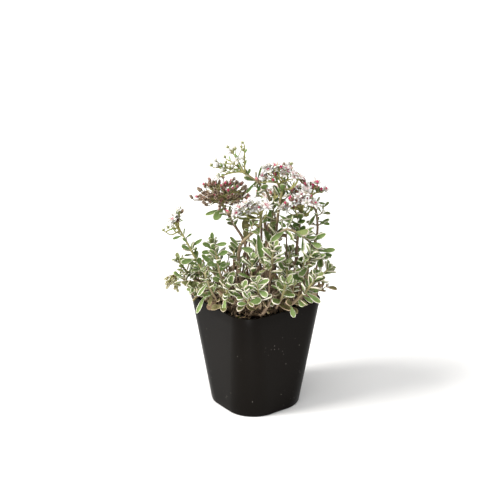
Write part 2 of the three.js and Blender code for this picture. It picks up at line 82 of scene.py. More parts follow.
# The photograph's camera: how far it stands from the middle of the rim, and where that middle is
# in a picture of 500 by 500 pixels
PHOTO_SIDE = 500
PHOTO_FOCAL = 1190
PHOTO_RIM = (255.3, 295)
CAMERA_DISTANCE = 1.03
CAMERA_AZIMUTH = -36.5
CAMERA_ELEVATION = 21.5
SENSOR = 36

# How stems, leaves and flowers grow, as in the solids
PLANT_TURN = math.radians(36.5)
REFERENCE = np.array((0.31, 0.94, 0.14))
UP = np.array((0.0, 0.0, 1.0))
LEAF_SHAPE = 0.56
LEAF_WIDEST = 0.68
LEAF_FOOT = 0.14
LEAF_THICK = 1.5
LEAF_CUP = 0.28
LEAF_ROOT = -0.12
LEAF_ROOM = 1.15
LEAF_FOOT_ROOM = 0.7
LEAF_OWN_ROOM = 0.7
LEAF_TRIES = 14
LEAST_LEAN = math.radians(30)
RAY_ARCH = 3
HEAD_FOOT = 3.2
FLOWER_ROOM = {"open": 2.6, "dry": 2.0, "bud": 1.7}

SHOOT = {"thick": 1.3, "thin": 0.8, "pairs": 6, "start": 0.36, "long": 13}


def leafy_stem(name, own, *points):
    return {"name": name, **SHOOT, **own, "points": np.array(points, float)}


STEMS = [
    leafy_stem("stem_far_left", {"thick": 1.4, "thin": 0.7, "pairs": 7, "start": 0.3},
               (-20, -6, 80), (-24, -8, 100), (-38, -14, 115), (-46, -17, 130), (-54, -18, 146),
               (-63, -14, 162)),
    leafy_stem("stem_left_pale", {"thick": 1.2, "thin": 0.7, "pairs": 8, "long": 14},
               (-14, -12, 80), (-17, -16, 98), (-26, -22, 115), (-30, -24, 129), (-33, -22, 143),
               (-36, -20, 152)),
    leafy_stem("stem_left_low", {"thick": 1.2, "thin": 0.7, "pairs": 5, "start": 0.4, "long": 12},
               (-32, -12, 80), (-36, -13, 98), (-46, -13, 105), (-55, -12, 111), (-62, -10, 117),
               (-66, -8, 118)),
    leafy_stem("stem_left_head", {"thick": 1.6, "thin": 0.9, "pairs": 4, "start": 0.5},
               (3, 4, 80), (2, 6, 98), (-5, 6, 124), (-10, 8, 145), (-17, 10, 157), (-23, 12, 167),
               (-27, 12, 175)),
    leafy_stem("stem_tan", {"thick": 1.5, "thin": 0.9, "pairs": 4, "start": 0.4, "long": 12},
               (-8, -2, 80), (-10, -4, 100), (-14, -3, 124), (-13, -4, 143),
               (-6, -8, 154), (3, -10, 163), (5, -10, 173)),
    leafy_stem("stem_top", {"thick": 1.6, "pairs": 5, "start": 0.42},
               (9, 14, 80), (9, 13, 98), (12, 10, 131), (14, 6, 164), (11, 2, 187), (1, 0, 200),
               (-8, -2, 207)),
    leafy_stem("stem_right_trunk", {"thick": 1.7, "thin": 0.9, "pairs": 4, "start": 0.5, "long": 16},
               (31, -6, 80), (32, -4, 98), (34, -2, 122), (36, 2, 147), (38, 4, 163), (39, 4, 172)),
    leafy_stem("stem_mid_trunk", {"thick": 1.7, "thin": 0.9, "start": 0.42, "long": 15},
               (15, 0, 80), (14, 0, 100), (16, 2, 133), (18, 0, 159), (20, 0, 178), (22, 0, 189),
               (23, 0, 196)),
    leafy_stem("stem_right_outer", {"thick": 1.4, "pairs": 5, "start": 0.45, "long": 15},
               (36, 12, 80), (39, 12, 98), (47, 14, 123), (53, 14, 148), (53, 12, 162), (51, 10, 175),
               (48, 8, 184)),
    leafy_stem("stem_arching", {"thick": 1.5, "pairs": 9, "start": 0.4, "long": 15},
               (9, -14, 80), (10, -15, 100), (8, -12, 133), (13, -12, 151),
               (25, -14, 162), (37, -14, 158), (48, -14, 149), (56, -14, 138)),
    leafy_stem("shoot_right_low", {"thick": 1.5, "pairs": 8, "start": 0.33, "long": 14},
               (20, -27, 80), (24, -30, 97), (33, -40, 108), (44, -43, 121), (49, -44, 130)),
    leafy_stem("shoot_center", {"thick": 1.2, "pairs": 8, "long": 14},
               (9, -25, 80), (11, -28, 98), (12, -31, 124), (14, -33, 142), (15, -34, 151)),
    leafy_stem("shoot_front_left", {"thick": 1.8, "pairs": 7, "start": 0.5},
               (-22, -24, 80), (-16, -31, 95), (-10, -38, 101), (-9, -44, 112), (-10, -47, 121)),
    leafy_stem("shoot_front", {"thick": 1.7, "pairs": 7, "start": 0.42, "long": 14},
               (-3, -30, 80), (1, -35, 96), (4, -40, 103), (3, -44, 115), (1, -46, 126)),
    leafy_stem("shoot_front_corner", {"thick": 1.6, "pairs": 7, "start": 0.42},
               (-16, -17, 80), (-22, -30, 97), (-26, -36, 104), (-24, -42, 115), (-21, -44, 124)),
    leafy_stem("shoot_inner_left", {"thick": 1.2, "pairs": 7, "start": 0.38},
               (-2, -16, 80), (-3, -20, 100), (-3, -24, 124), (-2, -26, 139)),
    leafy_stem("shoot_right_leafy", {"thick": 1.4, "pairs": 7, "start": 0.33, "long": 16},
               (34, -17, 80), (38, -17, 98), (41, -20, 117), (44, -22, 133), (47, -23, 144)),
    leafy_stem("shoot_right_edge", {"thick": 1.2, "thin": 0.7, "pairs": 5, "start": 0.38},
               (38, 4, 80), (42, 5, 97), (52, 4, 108), (58, 3, 116), (63, 2, 121)),
    leafy_stem("shoot_left_rosette", {"pairs": 7, "start": 0.33},
               (-26, -23, 80), (-29, -26, 98), (-37, -31, 114), (-42, -33, 132)),
    leafy_stem("shoot_front_right", {"pairs": 7, "start": 0.33, "long": 14},
               (15, -31, 80), (17, -34, 98), (22, -41, 112), (25, -46, 126)),
    leafy_stem("shoot_inner_right", {"thick": 1.2, "long": 14},
               (22, -12, 80), (23, -14, 98), (26, -18, 116), (27, -22, 133)),
    leafy_stem("shoot_left_mid", {"thick": 1.2},
               (-21, 2, 80), (-24, 3, 98), (-33, 3, 112), (-38, 2, 129)),
    leafy_stem("shoot_left_side", {"pairs": 7, "start": 0.33},
               (-28, -3, 80), (-33, -3, 98), (-46, -5, 111), (-58, -8, 122), (-65, -10, 134)),
    leafy_stem("shoot_left_front", {"thick": 1.4, "pairs": 7, "long": 14},
               (-26, -10, 80), (-29, -14, 97), (-36, -22, 105), (-45, -27, 112), (-52, -30, 114)),
    leafy_stem("shoot_back_left", {},
               (-18, 18, 80), (-20, 20, 98), (-29, 28, 113), (-35, 33, 127)),
    leafy_stem("shoot_back_inner", {},
               (-10, 18, 80), (-12, 21, 98), (-17, 28, 114), (-19, 31, 128)),
    leafy_stem("shoot_back", {},
               (-1, 28, 80), (-1, 31, 98), (0, 38, 114), (1, 42, 130)),
    leafy_stem("shoot_back_right", {},
               (20, 24, 80), (22, 26, 98), (27, 33, 112), (31, 38, 125)),
    leafy_stem("shoot_back_far", {},
               (8, 42, 80), (8, 45, 98), (10, 53, 110), (12, 60, 122)),
    leafy_stem("shoot_back_corner", {},
               (30, 16, 80), (34, 18, 98), (43, 24, 109), (50, 28, 120)),
    leafy_stem("shoot_back_side", {},
               (-29, 10, 80), (-34, 12, 98), (-45, 17, 105), (-53, 21, 113)),
    leafy_stem("stem_back", {"thick": 1.5, "thin": 0.9, "start": 0.42},
               (3, 20, 80), (5, 22, 98), (10, 29, 125), (14, 34, 150), (16, 37, 168)),
]


def flower_head(name, on, opened, dry, *rays):
    return {"name": name, "on": on, "open": opened, "dry": dry, "rays": rays}


HEADS = [
    flower_head("head_top", "stem_top", 0.1, 0,
                (-1, 0, 25, 3), (-13, -3, 22, 3), (-27, 2, 5, 3), (-21, -5, -1, 2), (-16, 6, 11, 2)),
    flower_head("head_left", "stem_left_head", 0, 1,
                (-25, -3, 6, 3), (-18, -8, 14, 4), (-10, 4, 19, 4), (2, -4, 20, 4), (13, 2, 16, 4),
                (19, -5, 7, 3), (10, -13, 10, 3), (-9, 14, 11, 3)),
    flower_head("head_tan", "stem_tan", 0.85, 0.15,
                (-25, -3, 1, 4), (-16, -8, 8, 3), (-6, -6, 11, 3), (5, -8, 8, 3)),
    flower_head("head_mid", "stem_mid_trunk", 0.6, 0.3,
                (-19, -4, 4, 3), (-13, 1, 14, 4), (-4, -6, 18, 4), (6, 5, 16, 4), (13, -7, 8, 3),
                (-8, 10, 11, 2)),
    flower_head("head_right", "stem_right_trunk", 0.45, 0.55,
                (-15, -7, 4, 3), (-8, -11, 12, 4), (3, -9, 18, 4), (-8, 7, 15, 3), (10, -10, 7, 3)),
    flower_head("head_right_outer", "stem_right_outer", 0.2, 0.8,
                (9, -2, 5, 3), (3, -6, 12, 3), (-8, 2, 12, 3), (-13, -4, 5, 3)),
    flower_head("head_far_left", "stem_far_left", 0.4, 0.2,
                (-12, -3, -1, 3), (-8, 4, 5, 2), (0, 1, 16, 3), (-4, -5, 9, 2)),
    flower_head("head_left_low", "stem_left_low", 0, 1,
                (-7, 0, -7, 2), (-1, 5, -13, 3), (-7, -5, -1, 2)),
    flower_head("head_back", "stem_back", 0.5, 0.4,
                (-12, 5, 7, 3), (8, 7, 10, 3), (1, 13, 6, 3)),
]


# Where each draw of numbers starts
LEAF_SEED = 1
EXTRA_SEED = 300
HEAD_SEED = 500
STEM_SEED = 700
FLOWER_SEED = 900
STALK_SEED = 1800
SOIL_SEED = 71
LITTER_SEED = 83


# Numbers and lines

def stream(seed):
    """A repeatable draw of numbers from 0 to 1."""
    def numbers():
        state = seed * 7919 + 12345
        while True:
            state = (state * 1664525 + 1013904223) % 4294967296
            yield state / 4294967296
    return numbers().__next__


def unit(v):
    return v / math.sqrt(v @ v)


def cross(a, b):
    return np.array((a[1] * b[2] - a[2] * b[1], a[2] * b[0] - a[0] * b[2], a[0] * b[1] - a[1] * b[0]))


def to_pot(points):
    """From the plant's layout to the pot's axes."""
    c, s = math.cos(PLANT_TURN), math.sin(PLANT_TURN)
    x, y, z = np.asarray(points).T
    return np.stack((x * c + y * s, -x * s + y * c, z), -1)


def along(points, t):
    """The point at the share t of a smooth line through points."""
    spans = len(points) - 1
    span = min(math.floor(t * spans), spans - 1)
    x = t * spans - span
    a, b, c, d = (points[min(max(span + k, 0), spans)] for k in (-1, 0, 1, 2))
    slope = 0.5 * (c - a)
    curve = a - 2.5 * b + 2 * c - 0.5 * d
    twist = 1.5 * (b - c) + 0.5 * (d - a)
    return b + x * (slope + x * (curve + x * twist))


def heading(points, t):
    step = 0.01
    return unit(along(points, min(t + step, 1)) - along(points, max(t - step, 0)))


def line_length(points):
    return sum(math.dist(p, q) for p, q in zip(points, points[1:]))


def level(turn):
    """The level direction at a turn."""
    return np.array((math.cos(turn), math.sin(turn), 0))


def arc(start, bow, end, s):
    """The point at the share s of a line from start to end that bow draws aside."""
    return start * (1 - s) ** 2 + bow * 2 * s * (1 - s) + end * s * s


def taper(first, last, rows, lumps, step, phase=0.0):
    """Radii that run from first to last and swell a little by turns. lumps is how much."""
    return np.linspace(first, last, rows) * (1 + lumps * np.sin(np.arange(rows) * step + phase))


def scatter(draw, *shape):
    """An array of draws from -0.5 to 0.5."""
    return np.array([draw() - 0.5 for _ in range(math.prod(shape))]).reshape(shape)


# The camera's place and turn, in millimetres, and points by where the picture shows them

def camera_place():
    azimuth, elevation = math.radians(CAMERA_AZIMUTH), math.radians(CAMERA_ELEVATION)
    back = Vector((math.sin(azimuth) * math.cos(elevation), -math.cos(azimuth) * math.cos(elevation),
                   math.sin(elevation)))
    half = PHOTO_SIDE / 2
    ray = Vector((PHOTO_RIM[0] - half, half - PHOTO_RIM[1], -PHOTO_FOCAL)).normalized()
    turn = (-back).to_track_quat("-Z", "Y") @ ray.rotation_difference(Vector((0, 0, -1)))
    return Vector((0, 0, POT_HEIGHT)) + back * (CAMERA_DISTANCE / MM), turn


CAMERA_SPOT, CAMERA_TURN = camera_place()
CAMERA_RISE = math.radians(CAMERA_ELEVATION)
TO_CAMERA = np.array((0, -math.cos(CAMERA_RISE), math.sin(CAMERA_RISE)))


def to_layout(point):
    """From the pot's axes to the plant's layout."""
    c, s = math.cos(PLANT_TURN), math.sin(PLANT_TURN)
    return np.array((point[0] * c - point[1] * s, point[0] * s + point[1] * c, point[2]))


def seen_at(x, y, away):
    """The point of the plant's layout that is seen at x, y in the picture and lies that far away."""
    half = PHOTO_SIDE / 2
    spot = to_layout(CAMERA_SPOT)
    ray = to_layout(CAMERA_TURN @ Vector((x - half, half - y, -PHOTO_FOCAL)))
    return spot + ray * (away - spot[1]) / ray[1]


# Room in the plant's layout

class Room:
    """Balls that are taken up: a point keeps its own room away from each of them."""

    def __init__(self, most=40000):
        self.at = np.zeros((most, 3))
        self.room = np.zeros(most)
        self.own_room = np.zeros(most)
        self.owner = np.zeros(most, int)
        self.count = 0

    def take(self, at, room, own_room, owner):
        at = np.atleast_2d(at)
        here = slice(self.count, self.count + len(at))
        self.at[here] = at
        self.room[here] = room
        self.own_room[here] = own_room
        self.owner[here] = owner
        self.count += len(at)

    def is_clear(self, at, room, own_room, owner):
        n = self.count
        away = np.sqrt(((at[:, None] - self.at[None, :n]) ** 2).sum(2))
        own = self.owner[:n] == owner
        need = np.where(own, own_room[:, None] + self.own_room[:n], room[:, None] + self.room[:n])
        return bool((away >= need).all())


taken = Room()
NO_ROOM = -math.inf


def pot_side(z):
    return FOOT_SIDE + (RIM_SIDE - FOOT_SIDE) * z / POT_HEIGHT


def pot_corner(z):
    return FOOT_CORNER + (RIM_CORNER - FOOT_CORNER) * z / POT_HEIGHT


def beyond_wall(x, y, z):
    """How far a point in the pot's axes is outside the pot's outline at its height."""
    radius = pot_corner(z)
    reach = pot_side(z) / 2 - radius
    return math.hypot(max(abs(x) - reach, 0), max(abs(y) - reach, 0)) - radius


def wall_place(p):
    if p[2] > POT_HEIGHT + LEAF_ROOM:
        return "over"
    beyond = beyond_wall(*to_pot(p))
    if beyond > LEAF_ROOM:
        return "out"
    return "in" if beyond < -WALL - LEAF_ROOM else "wall"


# Leaves: {root, way, face, long, bend}, as in the solids

PROBES = np.array(((0.16, 0), (0.33, 0), (0.55, -0.5), (0.55, 0.5), (0.8, -0.65), (0.8, 0.65), (0.8, 0),
                   (1, 0)))
PROBE_ROOM = np.array([LEAF_FOOT_ROOM] * 2 + [LEAF_ROOM] * 6)
PROBE_OWN_ROOM = np.array([NO_ROOM] * 2 + [LEAF_OWN_ROOM] * 6)


def half_width(s):
    """Half the leaf's width at the share s of its length, as a share of its widest half."""
    if s < LEAF_WIDEST:
        rise = s / LEAF_WIDEST
        return LEAF_FOOT + (1 - LEAF_FOOT) * rise * rise * (3 - 2 * rise)
    fall = (s - LEAF_WIDEST) / (1 - LEAF_WIDEST)
    return math.sqrt(max(1 - fall * fall, 0))


PROBE_WIDTH = np.array([half_width(s) for s, q in PROBES])


def leaf_points(leaf, s, y, width):
    """Points of the middle surface: s along it, and y across it in shares of its half width there."""
    half = 0.5 * LEAF_SHAPE * leaf["long"] * width
    across = cross(leaf["way"], leaf["face"])
    lift = leaf["long"] * leaf["bend"] * s * s + leaf.get("cup", LEAF_CUP) * half * y * y
    parts = [(leaf["way"], leaf["long"] * s), (leaf["face"], lift), (across, half * y * leaf.get("slim", 1))]
    return leaf["root"] + sum(np.multiply.outer(scale, v) for v, scale in parts)


def leaf_stands(at):
    places = [wall_place(p) for p in at]
    meets_wall = "wall" in places or ("in" in places and "out" in places)
    lowest = SOIL_TOP + SOIL_LUMP + LEAF_ROOM
    meets_soil = any(place == "in" and p[2] < lowest for place, p in zip(places, at))
    return not meets_wall and not meets_soil


def leaf_at(stem, t, turn, pitch, length, bend):
    way = heading(stem["points"], t)
    side = unit(cross(way, REFERENCE))
    other = cross(way, side)
    out = side * math.cos(turn) + other * math.sin(turn)
    radius = stem["thick"] + (stem["thin"] - stem["thick"]) * t
    return {
        "root": along(stem["points"], t) - out * LEAF_ROOT * radius,
        "way": way * math.cos(pitch) + out * math.sin(pitch),
        "face": way * math.sin(pitch) - out * math.cos(pitch),
        "long": length,
        "bend": bend,
    }


def fit_leaf(stem, owner, t, turn, pitch, length, bend, tightness=1.0):
    """The leaf, or the nearest to it that is clear: by steps it turns aside, leans and shortens."""
    for k in range(LEAF_TRIES):
        aside = math.ceil(k / 2) * (1 if k % 2 else -1)
        lean = max(pitch - math.radians(4) * aside, LEAST_LEAN)
        leaf = leaf_at(stem, t, turn + math.radians(17) * aside, lean, length * (1 - 0.028 * k), bend)
        at = leaf_points(leaf, PROBES[:, 0], PROBES[:, 1], PROBE_WIDTH)
        room, own = PROBE_ROOM * tightness, PROBE_OWN_ROOM * tightness
        if leaf_stands(at) and taken.is_clear(at, room, own, owner):
            taken.take(at, room, own, owner)
            return leaf
    return None


def grow_leaves(stem, owner):
    """Opposite pairs, each a quarter turn from the last, closer, steeper and smaller to the tip."""
    draw = stream(LEAF_SEED + owner)
    first = draw() * math.pi
    last = 0.92 if bears_head(stem) else 0.975
    leaves = []
    for pair in range(stem["pairs"]):
        share = pair / (stem["pairs"] - 1)
        t = stem["start"] + (last - stem["start"]) * (1 - (1 - share) ** 1.35)
        for side in range(2):
            turn = first + pair * math.pi / 2 + side * math.pi + 0.4 * (draw() - 0.5)
            pitch = math.radians(76 - 42 * share + 16 * (draw() - 0.5))
            length = stem["long"] * (1 - 0.38 * share * share) * (0.86 + 0.28 * draw())
            bend = 0.16 * (draw() - 0.55)
            leaf = fit_leaf(stem, owner, t, turn, pitch, length, bend)
            if leaf:
                leaves.append({**leaf, "t": t})
    return leaves


# Flower heads

def ray_point(head, ray, s):
    share = head["rays"].index(ray) / len(head["rays"])
    start = head["tip"] + head["way"] * (1 + HEAD_FOOT * share)
    end = head["tip"] + np.array(ray[:3], float)
    middle = start + 0.45 * (end - start) + UP * RAY_ARCH
    return arc(start, middle, end, s)


def grow_ray(head, ray, draw):
    outward = unit(np.array((ray[0], ray[1], 0.0)))
    sideways = cross(outward, UP)
    hang = -0.8 if ray[2] < 0 and head["open"] == 0 else 0.9
    count = ray[3]
    flowers = []
    for k in range(count):
        s = 0.42 + 0.58 * k / (count - 1)
        row = 0.1 if k == count - 1 else 0.8 * (1 if k % 2 else -1)
        chance = draw()
        kind = "open" if chance < head["open"] else "dry" if chance < head["open"] + head["dry"] else "bud"
        way = unit(UP * hang + outward * (0.2 + 0.5 * s) + sideways * row)
        size = 0.86 + 0.28 * draw()
        flowers.append({"root": ray_point(head, ray, s), "way": way, "kind": kind, "size": size,
                        "spin": 3 * draw(), "stalk": 1.2})
    return flowers


def grow_head(head, owner, seed):
    draw = stream(seed)
    stem = next(s for s in STEMS if s["name"] == head["on"])
    head["tip"] = stem["points"][-1]
    head["way"] = heading(stem["points"], 1)
    head["flowers"] = [flower for ray in head["rays"] for flower in grow_ray(head, ray, draw)]
    for flower in head["flowers"]:
        at = flower["root"] + flower["way"] * 3.6 * flower["size"]
        taken.take(at, FLOWER_ROOM[flower["kind"]], NO_ROOM, owner)
    for ray in head["rays"]:
        taken.take([ray_point(head, ray, i / 9) for i in range(1, 10)], 1, NO_ROOM, owner)


def grow_plant():
    for i, stem in enumerate(STEMS):
        steps = math.ceil(line_length(stem["points"]) / 2)
        at = [along(stem["points"], k / steps) for k in range(steps + 1)]
        radii = stem["thick"] + (stem["thin"] - stem["thick"]) * np.arange(steps + 1) / steps
        taken.take(at, radii + 0.4, NO_ROOM, i)
    for i, head in enumerate(HEADS):
        grow_head(head, len(STEMS) + i, HEAD_SEED + i)
    for i, stem in enumerate(STEMS):
        stem["leaves"] = grow_leaves(stem, i)


# Meshes

class Shape:
    """Points in millimetres with four paint values each, and faces with a material index each."""

    def __init__(self):
        self.points, self.paint, self.faces, self.kinds = [], [], [], []
        self.count = 0

    def add(self, points, faces, paint, kind=0):
        points = np.asarray(points, float)
        paint = np.broadcast_to(np.asarray(paint, float), (len(points), 4))
        self.points.append(points)
        self.paint.append(paint)
        self.faces += [[i + self.count for i in face] for face in faces]
        self.kinds += [kind] * len(faces)
        self.count += len(points)

    def tube(self, line, widths, sides, *colours, place=None, **form):
        """A sweep along a line, with colours that follow each other along it."""
        points, faces = sweep(line, widths, sides, **form)
        self.add(place(points) if place else points, faces, tints(len(line), sides, *colours))


def put(name, data):
    """A new object in the scene."""
    made = bpy.data.objects.new(name, data)
    bpy.context.scene.collection.objects.link(made)
    return made


def mesh_of(name, points, faces):
    mesh = bpy.data.meshes.new(name)
    mesh.from_pydata(points.tolist(), [], faces)
    return mesh


def make_piece(name, shape, materials, slot, *nodes, in_layout=True):
    """A piece of the model that rides on the body and takes the place of its nodes."""
    points = np.concatenate(shape.points)
    points = (to_pot(points) if in_layout else points) * MM
    mesh = mesh_of(name, np.clip(points, np.array(cad_low), np.array(cad_high)), shape.faces)
    mesh.polygons.foreach_set("use_smooth", [True] * len(mesh.polygons))
    mesh.polygons.foreach_set("material_index", shape.kinds)
    paint = mesh.attributes.new("paint", "FLOAT_COLOR", "POINT")
    paint.data.foreach_set("color", np.concatenate(shape.paint).astype(np.float32).ravel())
    for material in materials:
        mesh.materials.append(material)
    mesh.update()
    piece = put(name, mesh)
    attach(piece, "root")
    if nodes:
        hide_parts(*nodes)
    return piece


@functools.cache
def ring_faces(rows, count):
    """Faces of a loft of rows of count points each, wound so that they face out, and its ends."""
    faces = []
    for row in range(rows - 1):
        low, high = row * count, (row + 1) * count
        for i in range(count):
            j = (i + 1) % count
            faces.append((low + i, low + j, high + j, high + i))
    return [*faces, tuple(reversed(range(count))), tuple(range((rows - 1) * count, rows * count))]


def sweep(line, widths, sides, thicks=None, across=None):
    """A closed tube along a line, its cross-section an ellipse of the given half width and half
    thickness. across is the way its width runs, if that matters."""
    line = np.asarray(line, float)
    rows = len(line)
    tangents = np.gradient(line, axis=0)
    tangents /= np.linalg.norm(tangents, axis=1, keepdims=True)
    if across is None:
        side = np.cross(tangents, REFERENCE)
    else:
        side = across - tangents * (tangents @ across)[:, None]
    side /= np.linalg.norm(side, axis=1, keepdims=True)
    other = np.cross(tangents, side)
    widths = np.broadcast_to(np.asarray(widths, float), (rows,))
    thicks = widths if thicks is None else np.broadcast_to(np.asarray(thicks, float), (rows,))
    angles = 2 * math.pi * np.arange(sides) / sides
    out = side[:, None] * (widths[:, None] * np.cos(angles))[:, :, None]
    out = out + other[:, None] * (thicks[:, None] * np.sin(angles))[:, :, None]
    return (line[:, None] + out).reshape(-1, 3), ring_faces(rows, sides)


def tints(rows, sides, *colours):
    """Paint for a sweep: the colours follow each other along it."""
    colours = np.array([(*c, 1.0) if len(c) == 3 else c for c in colours], float)
    at = np.linspace(0, len(colours) - 1, rows)
    row = np.stack([np.interp(at, range(len(colours)), colours[:, i]) for i in range(4)], -1)
    return np.repeat(row, sides, axis=0)


class Blade:
    """The grid of a leaf: rows run from its edge in to its spine, and its end has round teeth."""

    def __init__(self, low_rows, end_rows, columns, teeth):
        rises = [LEAF_WIDEST * k / low_rows for k in range(low_rows)]
        edge = [(s, half_width(s)) for s in rises]
        for k in range(end_rows + 1):
            angle = 0.5 * math.pi * k / end_rows
            notch = 1 - (teeth if k % 2 and k < end_rows else 0)
            edge.append((LEAF_WIDEST + (1 - LEAF_WIDEST) * math.sin(angle) * notch, math.cos(angle) * notch))
        edge[-1] = (1.0, 0.0)
        across = np.array([*(-c for c in columns), 0, *reversed(columns)], float)
        edge_s, edge_w = np.array(edge).T
        rows, cols = len(edge), len(across)
        inward = np.abs(across) ** 1.6
        spine = 0.9 * edge_s
        self.s = spine[:, None] + (edge_s - spine)[:, None] * inward
        self.y = np.broadcast_to(across, (rows, cols))
        self.width = np.broadcast_to(edge_w[:, None], (rows, cols))
        self.swell = np.sqrt(np.maximum(1 - self.y ** 4, 0)) * (0.45 + 0.55 * np.minimum(self.s / 0.4, 1))
        self.groove = 0.3 * np.exp(-(self.y / 0.2) ** 2) * (1 - self.s)
        self.rows, self.cols = rows, cols
        self.index(rows, cols)

    def index(self, rows, cols):
        top = np.arange(rows * cols).reshape(rows, cols)
        middle = cols // 2
        top[-1, :middle] = top[-1, :middle:-1]
        bottom = top + rows * cols
        bottom[:, 0] = top[:, 0]
        bottom[:, -1] = top[:, -1]
        bottom[-1, :middle] = bottom[-1, :middle:-1]
        faces = []
        for r in range(rows - 1):
            for c in range(cols - 1):
                faces.append((top[r, c], top[r, c + 1], top[r + 1, c + 1], top[r + 1, c]))
                faces.append((bottom[r, c], bottom[r + 1, c], bottom[r + 1, c + 1], bottom[r, c + 1]))
        faces.append((*bottom[0, 1:], *reversed(top[0, :-1])))
        used = sorted({i for face in faces for i in face})
        self.keep = np.array(used)
        new = {old: i for i, old in enumerate(used)}
        self.faces = [tuple(dict.fromkeys(new[i] for i in face)) for face in faces]

    def points(self, leaf):
        s, y, width = (grid.ravel() for grid in (self.s, self.y, self.width))
        middle = leaf_points(leaf, s, y, width)
        thick = min(LEAF_THICK, 0.13 * leaf["long"]) * leaf.get("plump", 1)
        swell, groove = self.swell.ravel(), self.groove.ravel()
        above = middle + np.multiply.outer(thick * (0.3 * swell - groove * 0.6), leaf["face"])
        below = middle - np.multiply.outer(thick * 0.7 * swell, leaf["face"])
        return np.concatenate((above, below))[self.keep]

    def paint(self, leaf):
        inner = np.tile(1 - np.abs(self.y).ravel(), 2)[self.keep]
        n = len(inner)
        return np.stack((inner, *(np.full(n, leaf[key]) for key in ("tone", "margin", "dry"))), -1)


LARGE_BLADE = Blade(5, 8, (1, 0.92, 0.76, 0.4), 0.045)
SMALL_BLADE = Blade(4, 4, (1, 0.84, 0.45), 0.03)


# Materials

class Material:
    """A node material. Inputs that are sockets are linked, and others are set."""

    def __init__(self, name):
        self.made = bpy.data.materials.new(name)
        self.made.use_nodes = True
        self.tree = self.made.node_tree
        self.shader = self.tree.nodes["Principled BSDF"]
        self.place = self.node("ShaderNodeTexCoord").outputs["Object"]

    def node(self, kind, inputs=None, **settings):
        node = self.tree.nodes.new(kind)
        for name, value in settings.items():
            setattr(node, name, value)
        self.feed(node, inputs or {})
        return node

    def feed(self, node, inputs):
        for name, value in inputs.items():
            if isinstance(value, bpy.types.NodeSocket):
                self.tree.links.new(value, node.inputs[name])
            else:
                node.inputs[name].default_value = value

    def noise(self, scale, detail=2.0, stretch=None):
        place = self.place
        if stretch:
            place = self.node("ShaderNodeMapping", {"Vector": place, "Scale": stretch}).outputs[0]
        inputs = {"Vector": place, "Scale": scale, "Detail": detail}
        return self.node("ShaderNodeTexNoise", inputs).outputs["Fac"]

    def math(self, operation, *values):
        return self.node("ShaderNodeMath", dict(enumerate(values)), operation=operation).outputs[0]

    def plus(self, base, value, scale=1.0):
        """The base, with the value added that many times."""
        return self.math("MULTIPLY_ADD", value, scale, base)

    def fade(self, value, low, high):
        inputs = {"Value": value, "From Min": low, "From Max": high}
        return self.node("ShaderNodeMapRange", inputs, interpolation_type="SMOOTHSTEP").outputs[0]

    def mix(self, share, first, second):
        """A mix of two colours; those that aren't sockets are given as three values."""
        first, second = (c if isinstance(c, bpy.types.NodeSocket) else (*c, 1) for c in (first, second))
        return self.node("ShaderNodeMix", {0: share, 6: first, 7: second}, data_type="RGBA").outputs[2]

    def painted(self):
        """The four paint values: three in one colour, and the last."""
        node = self.node("ShaderNodeAttribute", attribute_name="paint")
        parts = self.node("ShaderNodeSeparateColor", {"Color": node.outputs["Color"]})
        return node.outputs["Color"], *parts.outputs[:3], node.outputs["Alpha"]

    def bump(self, height, distance, strength):
        inputs = {"Height": height, "Distance": distance, "Strength": strength}
        return self.node("ShaderNodeBump", inputs).outputs[0]

    def finish(self, colour, roughness, shine, normal, **glow):
        """The material, with its shader fed. glow has the weight, scale and radius of what shines through."""
        self.feed(self.shader, {"Base Color": colour, "Roughness": roughness, "Specular IOR Level": shine})
        self.feed(self.shader, {"Subsurface " + name.title(): value for name, value in glow.items()})
        if normal:
            self.feed(self.shader, {"Normal": normal})
        return self.made


def leaf_material():
    """Paint: how far in from the edge, tone, width of the margin, and how dry."""
    m = Material("variegated_leaf")
    _, inner, tone, margin, dry = m.painted()
    wander = m.plus(-0.25, m.noise(700, 3), 0.5)
    inward = m.plus(inner, wander)
    heart = m.fade(inward, m.plus(margin, -0.07), m.plus(margin, 0.05))
    mottle = m.noise(420, 4)
    dark = m.mix(mottle, (0.043, 0.083, 0.015), (0.100, 0.167, 0.034))
    light = m.mix(mottle, (0.160, 0.245, 0.068), (0.255, 0.330, 0.122))
    green = m.mix(tone, dark, light)
    body = m.mix(m.fade(inward, margin, m.plus(margin, 0.30)), m.mix(0.3, green, (0.33, 0.34, 0.17)), green)
    cream = m.mix(m.noise(260, 2), (0.76, 0.745, 0.655), (0.60, 0.56, 0.44))
    olive = m.mix(mottle, (0.079, 0.075, 0.024), (0.21, 0.18, 0.07))
    old = m.mix(heart, (0.35, 0.26, 0.17), olive)
    colour = m.mix(m.fade(dry, 0.02, 0.34), m.mix(heart, cream, body), old)
    brown = m.mix(mottle, (0.095, 0.060, 0.034), (0.32, 0.22, 0.13))
    withered = m.fade(m.plus(dry, wander, 0.5), 0.45, 0.65)
    grain = m.bump(m.plus(m.noise(2600, 2), mottle, 0.8), 0.00012, 0.7)
    return m.finish(m.mix(withered, colour, brown), m.plus(0.40, m.noise(1500, 2), 0.22), 0.24, grain,
                    weight=0.12, scale=0.0012, radius=(0.7, 1.0, 0.4))


